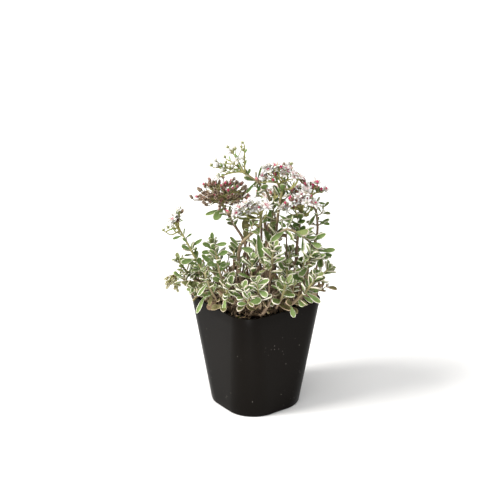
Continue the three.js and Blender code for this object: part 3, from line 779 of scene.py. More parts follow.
def bark_material():
    """Paint: share of the stem's length, its tone, how pale it is, and how green its end is."""
    m = Material("stem_bark")
    _, share, tone, pale, green = m.painted()
    streaks = m.noise(520, 5, (1, 1, 0.3))
    patches = m.noise(190, 3)
    old = m.mix(streaks, (0.074, 0.049, 0.031), (0.25, 0.17, 0.11))
    tan = m.mix(streaks, (0.197, 0.134, 0.082), (0.43, 0.33, 0.23))
    bark = m.mix(m.fade(m.plus(m.plus(pale, -0.35), patches, 0.7), 0.0, 1.0), old, tan)
    young = m.mix(tone, (0.28, 0.27, 0.10), (0.39, 0.35, 0.19))
    youth = m.fade(m.plus(m.plus(-0.1, streaks, 0.2), share, green), 0.35, 0.85)
    rough = m.bump(m.plus(streaks, m.noise(1900, 3)), 0.00035, 0.9)
    return m.finish(m.mix(youth, bark, young), m.plus(0.55, patches, 0.25), 0.16, rough)


def bloom_material():
    """Paint: colour, with a little mottling on top."""
    m = Material("flower_tissue")
    colour, *_ = m.painted()
    mottle = m.noise(1300, 3)
    shaded = m.mix(m.fade(mottle, 0.3, 0.75), colour, m.mix(0.22, colour, (0.05, 0.04, 0.03)))
    spots = m.math("MULTIPLY", m.fade(m.noise(900, 2), 0.55, 0.8), 0.2)
    worn = m.mix(spots, shaded, (0.55, 0.45, 0.32))
    return m.finish(m.mix(0.45, colour, worn), m.plus(0.45, mottle, 0.25), 0.2,
                    m.bump(m.noise(3200, 2), 0.00012, 0.6), weight=0.3, scale=0.0015, radius=(1.0, 0.9, 0.85))


def soil_material():
    m = Material("potting_mix")
    colour, *_ = m.painted()
    crumb = m.noise(900, 6)
    wet = m.mix(m.fade(crumb, 0.35, 0.7), m.mix(0.6, colour, (0.0084, 0.0059, 0.0042)), colour)
    grain = m.bump(m.plus(crumb, m.noise(2600, 4)), 0.0006, 1.0)
    return m.finish(wet, m.plus(0.75, crumb, 0.2), 0.25, grain)


def plastic_material():
    """Black film with a faint cloudiness and a few specks of dust."""
    m = Material("black_plastic")
    cloud = m.noise(14, 3)
    speck = m.node("ShaderNodeTexVoronoi", {"Vector": m.place, "Scale": 260.0, "Randomness": 1.0})
    spot = m.plus(1.0, m.fade(speck.outputs["Distance"], 0.05, 0.11), -1.0)
    rare = m.math("MULTIPLY", m.fade(m.noise(61, 1), 0.55, 0.62), 0.6)
    dust = m.math("MULTIPLY", spot, rare)
    film = m.mix(cloud, (0.0024, 0.0018, 0.0013), (0.0040, 0.0030, 0.0022))
    rough = m.plus(m.plus(0.30, cloud, 0.12), dust, 0.3)
    grain = m.bump(m.plus(m.noise(1500, 2), m.noise(120, 2), 0.5), 0.00004, 0.5)
    return m.finish(m.mix(dust, film, (0.26, 0.24, 0.21)), rough, 0.05, grain)


def floor_material():
    m = Material("pale_floor")
    return m.finish(m.mix(m.noise(6, 2), (0.80, 0.80, 0.80), (0.83, 0.83, 0.83)), 0.85, 0.1, None)


# The pot

def pot_ring(z, inset, scale=1.0):
    """The pot's outline at height z, drawn in by inset and then scaled about its middle."""
    radius = pot_corner(z) - inset
    reach = pot_side(z) / 2 - inset - radius
    ring = []
    for corner, (right, back) in enumerate(((1, 1), (-1, 1), (-1, -1), (1, -1))):
        for i in range(CORNER_STEPS + 1):
            turn = 0.5 * math.pi * (corner + i / CORNER_STEPS)
            ring.append((right * reach + radius * math.cos(turn), back * reach + radius * math.sin(turn), z))
        x, y, _ = ring[-1]
        ahead = ((-1, 1), (-1, -1), (1, -1), (1, 1))[corner]
        turn = 0.5 * math.pi * (corner + 1)
        end = (ahead[0] * reach + radius * math.cos(turn), ahead[1] * reach + radius * math.sin(turn))
        for i in range(1, SIDE_STEPS):
            share = i / SIDE_STEPS
            ring.append((x + (end[0] - x) * share, y + (end[1] - y) * share, z))
    ring = np.array(ring)
    ring[:, :2] *= scale
    return ring


def pot_shape():
    """One closed wall: up the outside, over the rounded lip, down the inside and in to the middle."""
    rings = [pot_ring(0, FOOT_BEVEL, scale) for scale in (0.1, 0.45, 0.8)]
    for turn in np.linspace(0, math.pi / 2, 5):
        rings.append(pot_ring(FOOT_BEVEL * (1 - math.cos(turn)), FOOT_BEVEL * (1 - math.sin(turn))))
    rings += [pot_ring(z, 0) for z in np.linspace(8, POT_HEIGHT - LIP, 11)]
    for turn in np.linspace(math.pi / 2, 0, 4)[1:]:
        rings.append(pot_ring(POT_HEIGHT - LIP * (1 - math.cos(turn)), LIP * (1 - math.sin(turn))))
    for turn in np.linspace(0, math.pi / 2, 4):
        rings.append(pot_ring(POT_HEIGHT - LIP * (1 - math.cos(turn)), WALL - LIP * (1 - math.sin(turn))))
    rings += [pot_ring(z, WALL) for z in np.linspace(POT_HEIGHT - 4, FLOOR + FOOT_BEVEL, 8)]
    rings += [pot_ring(FLOOR, WALL + FOOT_BEVEL, scale) for scale in (1, 0.8, 0.45, 0.1)]
    shape = Shape()
    shape.add(np.concatenate(rings), ring_faces(len(rings), len(rings[0])), (0, 0, 0, 1))
    return shape


def cut_drains(pot):
    """Four drain holes and the shallow channels that lead out from them under the floor."""
    for corner in range(4):
        out = level(math.pi * (0.25 + 0.5 * corner))
        side = cross(UP, out)
        rim = [(math.cos(a), math.sin(a)) for a in np.linspace(0, 2 * math.pi, 24, endpoint=False)]
        hole = [out * (DRAIN_OFFSET + DRAIN_RADIUS * x) + side * DRAIN_RADIUS * y + UP * z
                for z in (-1, FLOOR + 2) for x, y in rim]
        half = CHANNEL_WIDTH / 2
        edges = ((DRAIN_OFFSET, -half), (RIM_SIDE, -half), (RIM_SIDE, half), (DRAIN_OFFSET, half))
        channel = [out * x + side * y + UP * z for z in (-1, CHANNEL_DEPTH) for x, y in edges]
        for points, count in ((hole, 24), (channel, 4)):
            tool = put("cutter", mesh_of("cutter", np.array(points) * MM, ring_faces(2, count)))
            cut = pot.modifiers.new("cut", "BOOLEAN")
            cut.operation = "DIFFERENCE"
            cut.object = tool
            cut.solver = "EXACT"
            bpy.context.view_layer.objects.active = pot
            bpy.ops.object.modifier_apply(modifier=cut.name)
            bpy.data.objects.remove(tool)


def add_pot():
    pot = make_piece("pot_moulded", pot_shape(), [plastic], "pot_plastic", "pot", in_layout=False)
    cut_drains(pot)
    pot.data.set_sharp_from_angle(angle=math.radians(40))


# The soil and what lies on it

def soil_height(x, y):
    broad = 0.6 * np.sin(0.21 * x + 1) * np.cos(0.17 * y)
    return SOIL_TOP + SOIL_LUMP * (broad + 0.4 * np.sin(0.43 * x - 0.37 * y))


def crumbs(x, y):
    """Lumps of potting mix, from a few waves that don't repeat over the pot."""
    lumps = np.sin(1.7 * x + 0.9 * np.sin(1.3 * y)) * np.sin(1.5 * y + 1.1 * np.sin(1.9 * x + 2))
    grit = np.sin(3.9 * x + 2.2 * np.sin(2.7 * y + 1)) * np.sin(4.3 * y + 1.7 * np.sin(3.1 * x))
    return 0.45 * lumps + 0.2 * grit


# The soil's colours, from dark to pale, and how much lies and stands on it
SOIL_COLOURS = ((0.020, 0.013, 0.009), (0.050, 0.032, 0.020), (0.10, 0.065, 0.040), (0.19, 0.13, 0.085))
CRUMBS = 900
STANDING_TWIGS = 170
LYING_TWIGS = 110
FALLEN_LEAVES = 70


def soil_shape():
    inset = WALL + GAP
    rings = [pot_ring(FLOOR + GAP, inset + FOOT_BEVEL, scale) for scale in (0.1, 0.55, 1)]
    rings += [pot_ring(z, inset) for z in (FLOOR + GAP + FOOT_BEVEL, 30, 60, SOIL_TOP - 2)]
    for scale in np.linspace(1, 0.02, 44):
        ring = pot_ring(SOIL_TOP, inset, scale)
        x, y = ring[:, 0], ring[:, 1]
        ring[:, 2] = soil_height(x, y) - 0.6 + crumbs(x, y)
        rings.append(ring)
    shape = Shape()
    shape.add(np.concatenate(rings), ring_faces(len(rings), len(rings[0])), (*SOIL_COLOURS[0], 1))
    draw = stream(SOIL_SEED)
    for _ in range(CRUMBS):
        add_crumb(shape, draw)
    return shape


def spot_on_soil(draw, inset=2.5):
    while True:
        x, y = ((draw() - 0.5) * RIM_SIDE for _ in range(2))
        if beyond_wall(x, y, SOIL_TOP) < -WALL - inset:
            return x, y


def add_crumb(shape, draw):
    """A chip of bark or peat, or a short fibre, half sunk in the soil."""
    x, y = spot_on_soil(draw)
    turn, size = 2 * math.pi * draw(), 0.35 + 1.5 * draw() ** 3
    fibre = draw() < 0.16
    way = np.array((math.cos(turn), math.sin(turn), 0.3 * (draw() - 0.4)))
    half = size * (2.8 if fibre else 0.9)
    middle = np.array((x, y, soil_height(x, y) - 0.3 + 0.25 * size))
    line = [middle + way * half * k + UP * 0.3 * size * (draw() - 0.5) for k in (-1, -0.6, 0, 0.55, 1)]
    swell = np.array([0.35, 0.9, 1, 0.85, 0.3]) * (0.28 if fibre else 0.75) * size * (0.8 + 0.4 * draw())
    points, faces = sweep(line, swell, 5, swell * (0.5 + 0.4 * draw()), across=cross(UP, way))
    if not fibre:
        points = points + scatter(draw, len(points), 3) * 0.3 * size
    colour = SOIL_COLOURS[int(draw() ** 1.6 * 4)]
    if max(beyond_wall(px, py, SOIL_TOP) for px, py, _ in points) < -WALL - 0.4:
        shape.add(points, faces, (*(np.array(colour) * (0.8 + 0.6 * draw())), 1))


def standing_twigs(shape, draw):
    """Bare old stems that stand among the leafy ones."""
    for _ in range(STANDING_TWIGS):
        x, y = spot_on_soil(draw, 7)
        foot = np.array((x, y, soil_height(x, y) - 1.5))
        height = 9 + 27 * draw()
        lean = np.array((x, y, 0)) * 0.24 * draw() + np.array((draw() - 0.5, draw() - 0.5, 0)) * 22
        end = foot + lean * height / 40 + UP * height
        rows = 16
        shares = np.linspace(0, 1, rows)[:, None]
        sway = np.array((draw() - 0.5, draw() - 0.5, 0)) * 12
        line = foot + (end - foot) * shares + sway * np.sin(math.pi * shares)
        line = line + 0.5 * scatter(draw, rows, 3)
        thick = 0.5 + 0.8 * draw()
        radii = taper(thick, 0.6 * thick, rows, 0.12, 2.7)
        pale = draw()
        if beyond_wall(end[0], end[1], POT_HEIGHT) > -6 or to_layout(foot)[1] < -30:
            continue
        shape.tube(line, radii, 7, (0, draw(), 0.2 + 0.7 * pale, 0), (0.6, draw(), 0.3 + 0.7 * pale, 0))


# Thick old stems that lie bare at the front: ends as seen in the picture, with their depths, and
# how thick they are
OLD_WOOD = (
    ((233, 302, -16), (262, 315.5, -45), 1.7), ((262, 315.5, -45), (274, 294, -36), 1.5),
    ((205, 299, -20), (222, 288, -18), 1.3), ((212, 301, -24), (232, 284, -14), 1.4),
    ((222, 305, -30), (240, 292, -20), 1.2), ((283, 310, -30), (292, 284, -16), 1.4),
    ((290, 305, -24), (298, 270, -8), 1.5), ((300, 303, -14), (306, 276, -6), 1.3),
    ((300, 300, -4), (303, 268, 4), 1.1), ((303, 298, -8), (312, 270, -2), 1.0),
    ((309, 297, -4), (318, 262, 6), 1.1),
    ((296, 300, -10), (301, 280, -4), 0.9), ((305, 290, 2), (296, 266, 8), 0.8),
    ((312, 292, 0), (306, 262, 8), 0.9),
    ((264, 266, 6), (264.5, 221, 6), 1.9), ((196, 306, 2), (181, 268, 4), 1.1),
    ((210, 306, 6), (203, 260, 8), 1.1), ((222, 306, 2), (216, 268, 4), 1.2),
    ((228, 306, 8), (234, 256, 10), 1.3), ((300, 306, 6), (309, 258, 6), 1.2),
    ((316, 300, 4), (321, 266, 4), 1.1),
    ((204, 306, 12), (192, 272, 12), 1.0), ((234, 306, 14), (226, 262, 14), 1.0),
    ((290, 306, 12), (298, 246, 12), 1.2),
    ((240, 298, 0), (247, 222, 3), 1.2), ((256, 298, 6), (261, 207, 8), 1.3),
    ((266, 300, -4), (268, 223, 4), 1.5),
    ((280, 299, 4), (286.5, 231, 6), 0.9), ((262, 297, 12), (275, 214, 16), 1.2),
    ((250, 300, 4), (249, 238, 0), 1.0),
    ((240, 314, -44), (236, 300, -34), 1.1), ((249, 316, -46), (256, 300, -36), 1.2),
    ((196, 297, -12), (186, 282, -12), 1.2), ((270, 312, -38), (280, 306, -26), 1.6),
)


def old_wood(shape, draw):
    for start, end, thick in OLD_WOOD:
        start, end = (to_pot(seen_at(*place)) for place in (start, end))
        rows = 18 + int(math.dist(start, end) / 3)
        shares = np.linspace(0, 1, rows)[:, None]
        sway = scatter(draw, 3) * 5
        jitter = 0.45 * scatter(draw, rows, 3)
        line = start + (end - start) * shares + sway * np.sin(math.pi * shares) + jitter
        radii = taper(thick, 0.75 * thick, rows, 0.12, 2.1, 6 * draw())
        shape.tube(line, radii, 9, (0, draw(), 0.35, 0), (0.5, draw(), 0.6, 0))


def tangle_shape():
    """Old woody runners, dry twigs and withered leaves that lie among the feet of the stems."""
    shape = Shape()
    draw = stream(LITTER_SEED)
    standing_twigs(shape, draw)
    old_wood(shape, draw)
    lying_twigs(shape, draw)
    fallen_leaves(shape, draw)
    return shape


def lying_twigs(shape, draw):
    for _ in range(LYING_TWIGS):
        x, y = spot_on_soil(draw, 3)
        foot = np.array((x, y, soil_height(x, y) - 1.2))
        out = level(2 * math.pi * draw())
        reach, rise = 6 + 20 * draw(), 3 + 13 * draw() * draw()
        end = foot + out * reach + UP * rise * (0.3 + 0.5 * draw())
        if beyond_wall(end[0], end[1], min(end[2], POT_HEIGHT)) > -WALL - 2:
            continue
        bow = foot + out * reach * 0.45 + UP * rise + cross(UP, out) * 5 * (draw() - 0.5)
        rows = 12
        line = arc(foot, bow, end, np.linspace(0, 1, rows)[:, None]) + 0.5 * scatter(draw, rows, 3)
        thick = 0.45 + 1.1 * draw() * draw()
        radii = taper(thick, 0.55 * thick, rows, 0.18, 2.4)
        shape.tube(line, radii, 7, *((share, draw(), 0.2 + 0.8 * draw(), 0) for share in (0, 0.6)))


def fallen_leaves(shape, draw):
    """Withered leaves on the soil, all at a slant."""
    for _ in range(FALLEN_LEAVES):
        x, y = spot_on_soil(draw, 7)
        turn = 2 * math.pi * draw()
        lean = math.radians(8 + 45 * draw())
        way = level(turn) * math.cos(lean) + UP * math.sin(lean)
        side = unit(cross(way, UP))
        leaf = {"root": np.array((x, y, soil_height(x, y) + 0.4)), "way": way, "face": cross(side, way),
                "long": 4.5 + 5 * draw(), "bend": 0.5 * (draw() - 0.5), "cup": 0.4 + 0.9 * draw(),
                "plump": 0.4, "tone": draw(), "margin": 0.12 * draw(), "dry": 0.5 + 0.5 * draw()}
        shape.add(SMALL_BLADE.points(leaf), SMALL_BLADE.faces, SMALL_BLADE.paint(leaf), 1)


# Stems with their leaves

# How pale a stem's bark is, how green its end is, and what its leaves are like: tone from deep to
# light green, the share of the half width that the cream margin takes, and their size. stout is how
# thick the stem is against its solid
LOOKS = {"pale": 0.45, "green": 0.85, "tone": 0.4, "margin": 0.2, "size": 1, "stout": 0.97}
STEM_LOOKS = {
    "stem_far_left": {"pale": 0.9, "green": 1.1, "tone": 0.6, "margin": 0.14, "size": 0.82},
    "stem_left_pale": {"pale": 1.0, "green": 0.9, "tone": 0.45, "margin": 0.13, "size": 0.8},
    "stem_left_low": {"pale": 0.35, "tone": 0.7, "margin": 0.16},
    "stem_left_head": {"pale": 0.25, "green": 0.3, "margin": 0.16, "size": 0.75},
    "stem_tan": {"pale": 0.9, "size": 0.6, "stout": 1.15},
    "stem_top": {"pale": 0.4, "green": 0.75, "size": 0.85},
    "stem_right_trunk": {"pale": 0.3, "green": 0.7, "size": 0.85},
    "stem_mid_trunk": {"pale": 0.4, "size": 0.85},
    "stem_right_outer": {"pale": 0.6, "green": 0.6, "size": 0.7},
    "stem_arching": {"pale": 0.8, "green": 0.9},
    "shoot_left_side": {"tone": 0.5, "margin": 0.12, "size": 0.82},
    "shoot_left_mid": {"tone": 0.45, "margin": 0.12, "size": 0.88},
    "shoot_left_front": {"tone": 0.5, "margin": 0.12, "size": 0.68},
    "shoot_left_rosette": {"tone": 0.5, "margin": 0.15, "size": 0.7},
    "shoot_front": {"margin": 0.29},
    "shoot_front_left": {"margin": 0.32},
    "shoot_center": {"margin": 0.29, "tone": 0.6},
}


# Leaves that stand out in the picture: where their stem bears them, as a share of its length, where
# their tips are seen, how much nearer the tip is than the root, the leaf's width, its tone and margin,
# and how withered it is, if at all
SEEN_LEAVES = {
    "stem_top": ((0.72, 263.5, 184, 5, 7.2, 0.9, 0.14), (0.62, 266.5, 210, 5, 6.4, 0.75, 0.12),
                 (0.45, 277.5, 228.5, 4, 3.8, 0.2, 0.12), (0.45, 262.5, 230.5, 4, 3.8, 0.25, 0.12),
                 (0.58, 268.5, 222, 3, 4.5, 0.0, 0.05), (0.79, 257.5, 194.5, 2, 3.0, 0.05, 0.05),
                 (0.5, 262.5, 217, 3, 4.4, 0.0, 0.06, 0.2), (0.5, 277, 238, 3, 4.0, 0.1, 0.1),
                 (0.4, 262, 248, 3, 4.6, 0.1, 0.1, 0.1), (0.4, 279, 249, 4, 4.2, 0.2, 0.14),
                 (0.35, 262.5, 263, 4, 4.6, 0.0, 0.1, 0.2), (0.35, 277, 260, 4, 4.4, 0.15, 0.14),
                 (0.83, 262, 165.5, 0, 1.9, 0.4, 0.05), (0.84, 246, 193.5, 2, 2.6, 0.15, 0.1),
                 (0.98, 244.5, 178.8, 3, 2.9, 0.8, 0.05), (0.95, 250, 168.5, 0, 2.4, 0.3, 0.05)),
    "stem_right_outer": ((0.75, 308.6, 225.8, 6, 3.7, 0.6, 0.4), (0.66, 330, 224.5, 2, 3.2, 0.35, 0.08),
                         (0.9, 325.5, 204, 1, 2.2, 0.3, 0.05), (0.84, 309.5, 211.5, 4, 2.8, 0.8, 0.2),
                         (0.5, 307, 230, 5, 3.0, 0.2, 0.16)),
    "stem_right_trunk": ((0.85, 302, 224, 7, 7.2, 0.05, 0.08), (0.9, 309.5, 214.5, 3, 3.4, 0.2, 0.12),
                         (0.88, 285.6, 217, 3, 3.6, 0.6, 0.16), (0.78, 292.5, 226.5, 4, 5.0, 0.15, 0.06),
                         (0.66, 305.5, 225.5, 4, 4.6, 0.05, 0.08), (0.6, 290.5, 233, 2, 3.4, 0.1, 0.1, 0.2),
                         (0.42, 303, 256, 4, 4.0, 0.1, 0.1)),
    "stem_mid_trunk": ((0.6, 290.5, 222.8, 4, 3.6, 0.6, 0.3), (0.45, 267.5, 243, 4, 4.6, 0.1, 0.1, 0.1),
                       (0.45, 283.5, 228, 3, 4.0, 0.0, 0.08), (0.55, 269, 226.5, 4, 4.6, 0.0, 0.08, 0.15),
                       (0.55, 286, 227, 3, 3.6, 0.25, 0.12), (0.35, 283, 262, 3, 4.2, 0.1, 0.1, 0.2)),
    "stem_tan": ((0.86, 256.2, 235, 4, 5.2, 0.55, 0.22), (0.3, 222.5, 276, 6, 5.0, 0.5, 0.34),
                 (0.8, 262, 259.5, 5, 6.6, 0.15, 0.2), (0.88, 244, 226, 5, 2.8, 0.4, 0.0, 0.34),
                 (0.64, 244.5, 218.5, 2, 6.2, 0.3, 0.0, 0.3), (0.96, 238, 219, 3, 2.2, 0.6, 0.0, 0.2),
                 (0.94, 242, 214, 1, 2.4, 0.6, 0.0, 0.24), (0.93, 247, 222, 2, 2.6, 0.5, 0.0, 0.28),
                 (0.88, 268, 219, 2, 2.4, 0.6, 0.08), (0.5, 229.5, 236.3, 2, 3.2, 0.6, 0.18),
                 (0.47, 229.5, 241.5, 4, 3.2, 0.5, 0.18), (0.5, 253.5, 251.5, 5, 6.0, 0.2, 0.14),
                 (0.42, 228.5, 257, 5, 3.2, 0.4, 0.3), (0.4, 247, 262, 6, 4.2, 0.1, 0.12),
                 (0.6, 246.5, 229, 1, 5.0, 0.1, 0.08, 0.25)),
    "stem_left_head": ((0.97, 214, 220, 5, 7.2, 0.8, 0.08), (0.94, 205, 215, 2, 3.6, 1.0, 0.12)),
    "stem_left_pale": ((0.66, 206.5, 262.5, 3, 5.0, 0.4, 0.08, 0.06), (0.62, 201, 254, 3, 4.4, 0.35, 0.08),
                       (0.6, 225.5, 263.5, 3, 5.4, 0.15, 0.05), (0.45, 212, 277.5, 4, 4.6, 0.6, 0.1),
                       (0.42, 235.5, 271.5, 5, 6.0, 0.45, 0.14, 0.1),
                       (0.4, 197, 285.5, 4, 6.6, 0.35, 0.1, 0.2),
                       (0.35, 197.5, 295.5, 6, 4.0, 0.5, 0.18, 0.1), (0.35, 229, 282, 5, 5.6, 0.3, 0.1, 0.2),
                       (0.99, 212, 231.8, 0, 3.5, 0.35, 0.05), (0.95, 227, 243.5, 2, 3.9, 0.35, 0.06),
                       (0.9, 202, 243, 2, 4.0, 0.3, 0.06), (0.84, 201, 252.5, 3, 3.9, 0.3, 0.08),
                       (0.78, 228, 251, 3, 4.4, 0.15, 0.08), (0.68, 226.5, 264.5, 4, 5.8, 0.1, 0.08)),
    "stem_far_left": ((0.62, 178.5, 258.5, 3, 5.0, 0.4, 0.05, 0.08), (0.6, 198.5, 257, 2, 5.0, 0.2, 0.06),
                      (0.3, 180.5, 282, 4, 6.0, 0.5, 0.12, 0.22), (0.8, 181, 245.5, 2, 3.6, 0.4, 0.06),
                      (0.7, 180.5, 263, 4, 5.4, 0.45, 0.16),
                      (0.93, 172.5, 239, 1, 2.5, 0.35, 0.05), (0.9, 192, 233.5, 0, 1.8, 0.3, 0.05),
                      (0.82, 202.5, 239, 1, 3.2, 0.35, 0.06)),
    "shoot_right_leafy": ((0.8, 299, 277, 5, 6.0, 0.5, 0.14), (0.55, 290.8, 275.5, 4, 6.4, 0.2, 0.12),
                          (0.58, 308.5, 287, 5, 3.8, 0.45, 0.2)),
    "stem_arching": ((0.97, 319.5, 268, 3, 5.0, 0.4, 0.16), (0.58, 270.5, 241.5, 4, 5.2, 0.6, 0.16),
                     (0.74, 312.5, 227.5, 0, 3.0, 0.2, 0.2), (0.82, 326.5, 233.5, 2, 4.8, 0.3, 0.16),
                     (0.93, 335.5, 249.5, 1, 4.4, 0.55, 0.1), (0.95, 332, 255.5, -2, 3.4, 0.05, 0.05),
                     (0.86, 304.5, 261, 5, 3.4, 0.5, 0.24), (0.68, 290, 240.5, 5, 2.6, 0.4, 0.3)),
    "shoot_center": ((0.38, 272.5, 307, 12, 5.4, 0.6, 0.2),),
    "shoot_front": ((0.85, 268, 296.3, 5, 6.0, 0.5, 0.24), (0.95, 243.5, 290, 5, 5.4, 0.5, 0.28),
                    (0.97, 269.5, 279.5, 3, 5.0, 0.45, 0.3)),
    "shoot_right_low": ((0.55, 304.5, 306, 4, 6.0, 0.6, 0.14), (0.68, 320.5, 302.8, 2, 4.8, 0.5, 0.2),
                        (0.62, 313, 302.5, 1, 3.7, 0.25, 0.16), (0.4, 294.3, 317.5, 3, 4.6, 0.8, 0.12)),
    "shoot_left_front": ((0.65, 196.5, 313.3, 3, 3.7, 0.85, 0.16),),
    "shoot_front_corner": ((0.7, 223.5, 311, 3, 3.4, 0.95, 0.16),),
    "shoot_left_rosette": ((0.45, 207, 309, 5, 6.2, 0.9, 0.1, 0.9), (0.62, 209, 306, 6, 3.2, 0.95, 0.1, 0.3),
                           (0.8, 197.5, 296, 5, 3.7, 0.7, 0.34)),
}

# The small leaves between the pairs grow only above this height
LEAFY_FROM = 103


def bears_head(stem):
    return any(head["on"] == stem["name"] for head in HEADS)


def seen_leaves(stem, owner):
    """The stem's leaves that stand out in the picture, each turned to where it is seen from."""
    leaves = []
    for t, x, y, nearer, wide, tone, margin, *dry in SEEN_LEAVES.get(stem["name"], ()):
        root = along(stem["points"], t)
        span = seen_at(x, y, root[1] - nearer) - root
        length = math.sqrt(span @ span)
        way = span / length
        face = unit(TO_CAMERA - way * (TO_CAMERA @ way))
        leaf = {"root": root, "way": way, "face": face, "long": length, "bend": 0.05, "t": t,
                "cup": 0.2, "slim": wide / (LEAF_SHAPE * length), "tone": tone, "margin": margin,
                "dry": sum(dry)}
        taken.take(leaf_points(leaf, PROBES[:, 0], PROBES[:, 1], PROBE_WIDTH), PROBE_ROOM * 0.6,
                   PROBE_OWN_ROOM * 0.6, owner)
        leaves.append(leaf)
    return leaves


def grow_extras(stem, owner):
    """Smaller leaves between the pairs, a short side shoot, and young leaves closed round the tip."""
    draw = stream(EXTRA_SEED + owner)
    leaves = []
    for _ in range(3 if bears_head(stem) else 7):
        t = 0.34 + 0.62 * draw()
        length = stem["long"] * (0.42 + 0.4 * draw())
        pitch = math.radians(46 + 40 * draw())
        leaf = fit_leaf(stem, owner, t, 2 * math.pi * draw(), pitch, length, 0.3 * (draw() - 0.4), 0.5)
        if leaf and leaf["root"][2] > LEAFY_FROM:
            leaves.append({**leaf, "t": t, "small": True})
    twig = grow_twig(stem, owner, draw)
    if twig:
        leaves += twig["leaves"]
    if not bears_head(stem):
        leaves += tip_leaves(stem, 6, 1, draw)
    return leaves, twig


def tip_leaves(stem, count, share, draw):
    """Young leaves, the last ones still closed over each other."""
    leaves = []
    for k in range(count):
        pitch = math.radians(14 + 7 * k)
        length = stem["long"] * (0.18 + 0.05 * k) * (0.85 + 0.3 * draw())
        leaf = leaf_at(stem, 1 - 0.004 * k, 2.4 * k + draw(), pitch, length, 0.1)
        leaves.append({**leaf, "t": share, "small": True, "young": True})
    return leaves


def grow_twig(stem, owner, draw):
    """A short side shoot with a few pairs of small leaves, or None where there is no room."""
    t = 0.34 + 0.4 * draw()
    turn, length = 2 * math.pi * draw(), 8 + 12 * draw()
    way = heading(stem["points"], t)
    side = unit(cross(way, REFERENCE))
    out = side * math.cos(turn) + cross(way, side) * math.sin(turn)
    root = along(stem["points"], t)
    bend = root + (0.5 * way + 0.85 * out) * 0.5 * length
    points = np.array((root, bend, bend + unit(way + 0.5 * out + 0.4 * UP) * 0.55 * length))
    at = np.array([along(points, share) for share in (0.5, 0.75, 1)])
    if not leaf_stands(at) or not taken.is_clear(at, np.full(3, 0.6), np.full(3, NO_ROOM), owner):
        return None
    taken.take(at, 0.6, NO_ROOM, owner)
    long_leaf = 7 + 4 * draw()
    twig = {"points": points, "thick": 0.62, "thin": 0.45, "long": long_leaf, "t": t}
    leaves = []
    for pair in range(3):
        for half in range(2):
            place = 0.5 + 0.2 * pair
            around = draw() + pair * math.pi / 2 + half * math.pi
            pitch = math.radians(70 - 11 * pair + 16 * (draw() - 0.5))
            size = long_leaf * (1 - 0.1 * pair) * (0.8 + 0.4 * draw())
            leaf = fit_leaf(twig, owner, place, around, pitch, size, 0.2 * (draw() - 0.5), 0.3)
            if leaf:
                leaves.append({**leaf, "t": t, "small": True})
    leaves += tip_leaves(twig, 3, t, draw)
    twig["leaves"] = leaves
    return twig


def dress_leaf(leaf, looks, draw):
    """Gives a leaf its green, its margin and how withered it is. Leaves low down are old: many are
    shrivelled, and their olive, darker green and thin margins are partly real age and partly painted shade."""
    tone = looks["tone"] + 0.5 * (draw() - 0.5) + 0.25 * (leaf["t"] - 0.6)
    margin = looks["margin"] * (0.3 + 1.0 * draw())
    cup, slim, fate = LEAF_CUP + 0.2 * (draw() - 0.5), 0.74 + 0.22 * draw(), draw()
    # age grows as the leaf sits lower in the plant: it stands for real age, and also for painted shade low
    # down
    age = min(max((116 - leaf["root"][2]) / 18, 0), 1) * min(max((0.8 - leaf["t"]) / 0.3, 0), 1)
    if "tone" in leaf:
        return leaf
    leaf["long"] *= looks["size"]
    if fate < 0.02 + 0.6 * age:
        leaf.update({"tone": draw(), "margin": margin, "dry": 0.7 + 0.3 * draw(), "cup": 1.0,
                     "slim": 0.5 * slim, "long": leaf["long"] * (0.62 + 0.2 * draw()), "plump": 0.6})
        return leaf
    # Low leaves get a darker green, thinner cream margins and more olive: painted shade as well as age
    tone += 0.35 if leaf.get("young") else -0.2 * age
    leaf.update({"tone": min(max(tone, 0), 1), "margin": margin * (1 - 0.5 * age), "cup": cup, "slim": slim,
                 "dry": 0.34 * min(age + 0.9 * max(fate - 0.35, 0), 1)})
    return leaf


def stem_shape(stem, owner):
    looks = {**LOOKS, **STEM_LOOKS.get(stem["name"], {})}
    draw = stream(STEM_SEED + owner)
    shape = Shape()
    rows = max(int(line_length(stem["points"]) / 1.1), 20)
    shares = np.linspace(0, 1, rows)
    line = np.array([along(stem["points"], t) for t in shares])
    radii = looks["stout"] * (stem["thick"] + (stem["thin"] - stem["thick"]) * shares)
    scars = np.exp(-((shares * rows / 3.6) % 1 - 0.5) ** 2 / 0.02)
    radii = radii * (1 + 0.13 * scars + 0.06 * scatter(draw, rows))
    for leaf in stem["leaves"]:
        radii = radii * (1 + 0.10 * np.exp(-((shares - leaf["t"]) * rows / 1.1) ** 2))
    tone = draw()
    shape.tube(line, radii, 10, *((share, tone, looks["pale"], looks["green"]) for share in (0, 1)))
    if stem["twig"]:
        line = [along(stem["twig"]["points"], t) for t in np.linspace(0, 1, 9)]
        radii = taper(0.62, 0.4, 9, 0.1, 2.2)
        age = 0.55 + 0.45 * stem["twig"]["t"]
        shape.tube(line, radii, 7, *((share, draw(), looks["pale"], age) for share in (0.3, 1)))
    for leaf in stem["leaves"] + stem["extras"] + stem["seen"]:
        dress_leaf(leaf, looks, draw)
        blade = SMALL_BLADE if leaf.get("small") else LARGE_BLADE
        shape.add(blade.points(leaf), blade.faces, blade.paint(leaf), 1)
    return shape


# Flower heads. Colours of the parts of a flower, from foot to tip

WHITE = (0.95, 0.94, 0.92)
BLUSH = (0.86, 0.76, 0.76)
CALYX = (0.31, 0.31, 0.11)
STALK = (0.38, 0.35, 0.135)
MAGENTA = (0.62, 0.045, 0.17)
ROSE = (0.72, 0.27, 0.30)
HUSK = (0.135, 0.105, 0.06)
HUSK_TIP = (0.50, 0.38, 0.26)
WITHERED = (0.40, 0.27, 0.17)
SPENT_RED = (0.37, 0.085, 0.07)
BRACT = (CALYX, (0.16, 0.30, 0.09), (0.30, 0.42, 0.16))

# About half the turn from one petal to the next, for parts that stand between the petals
BETWEEN = 0.63


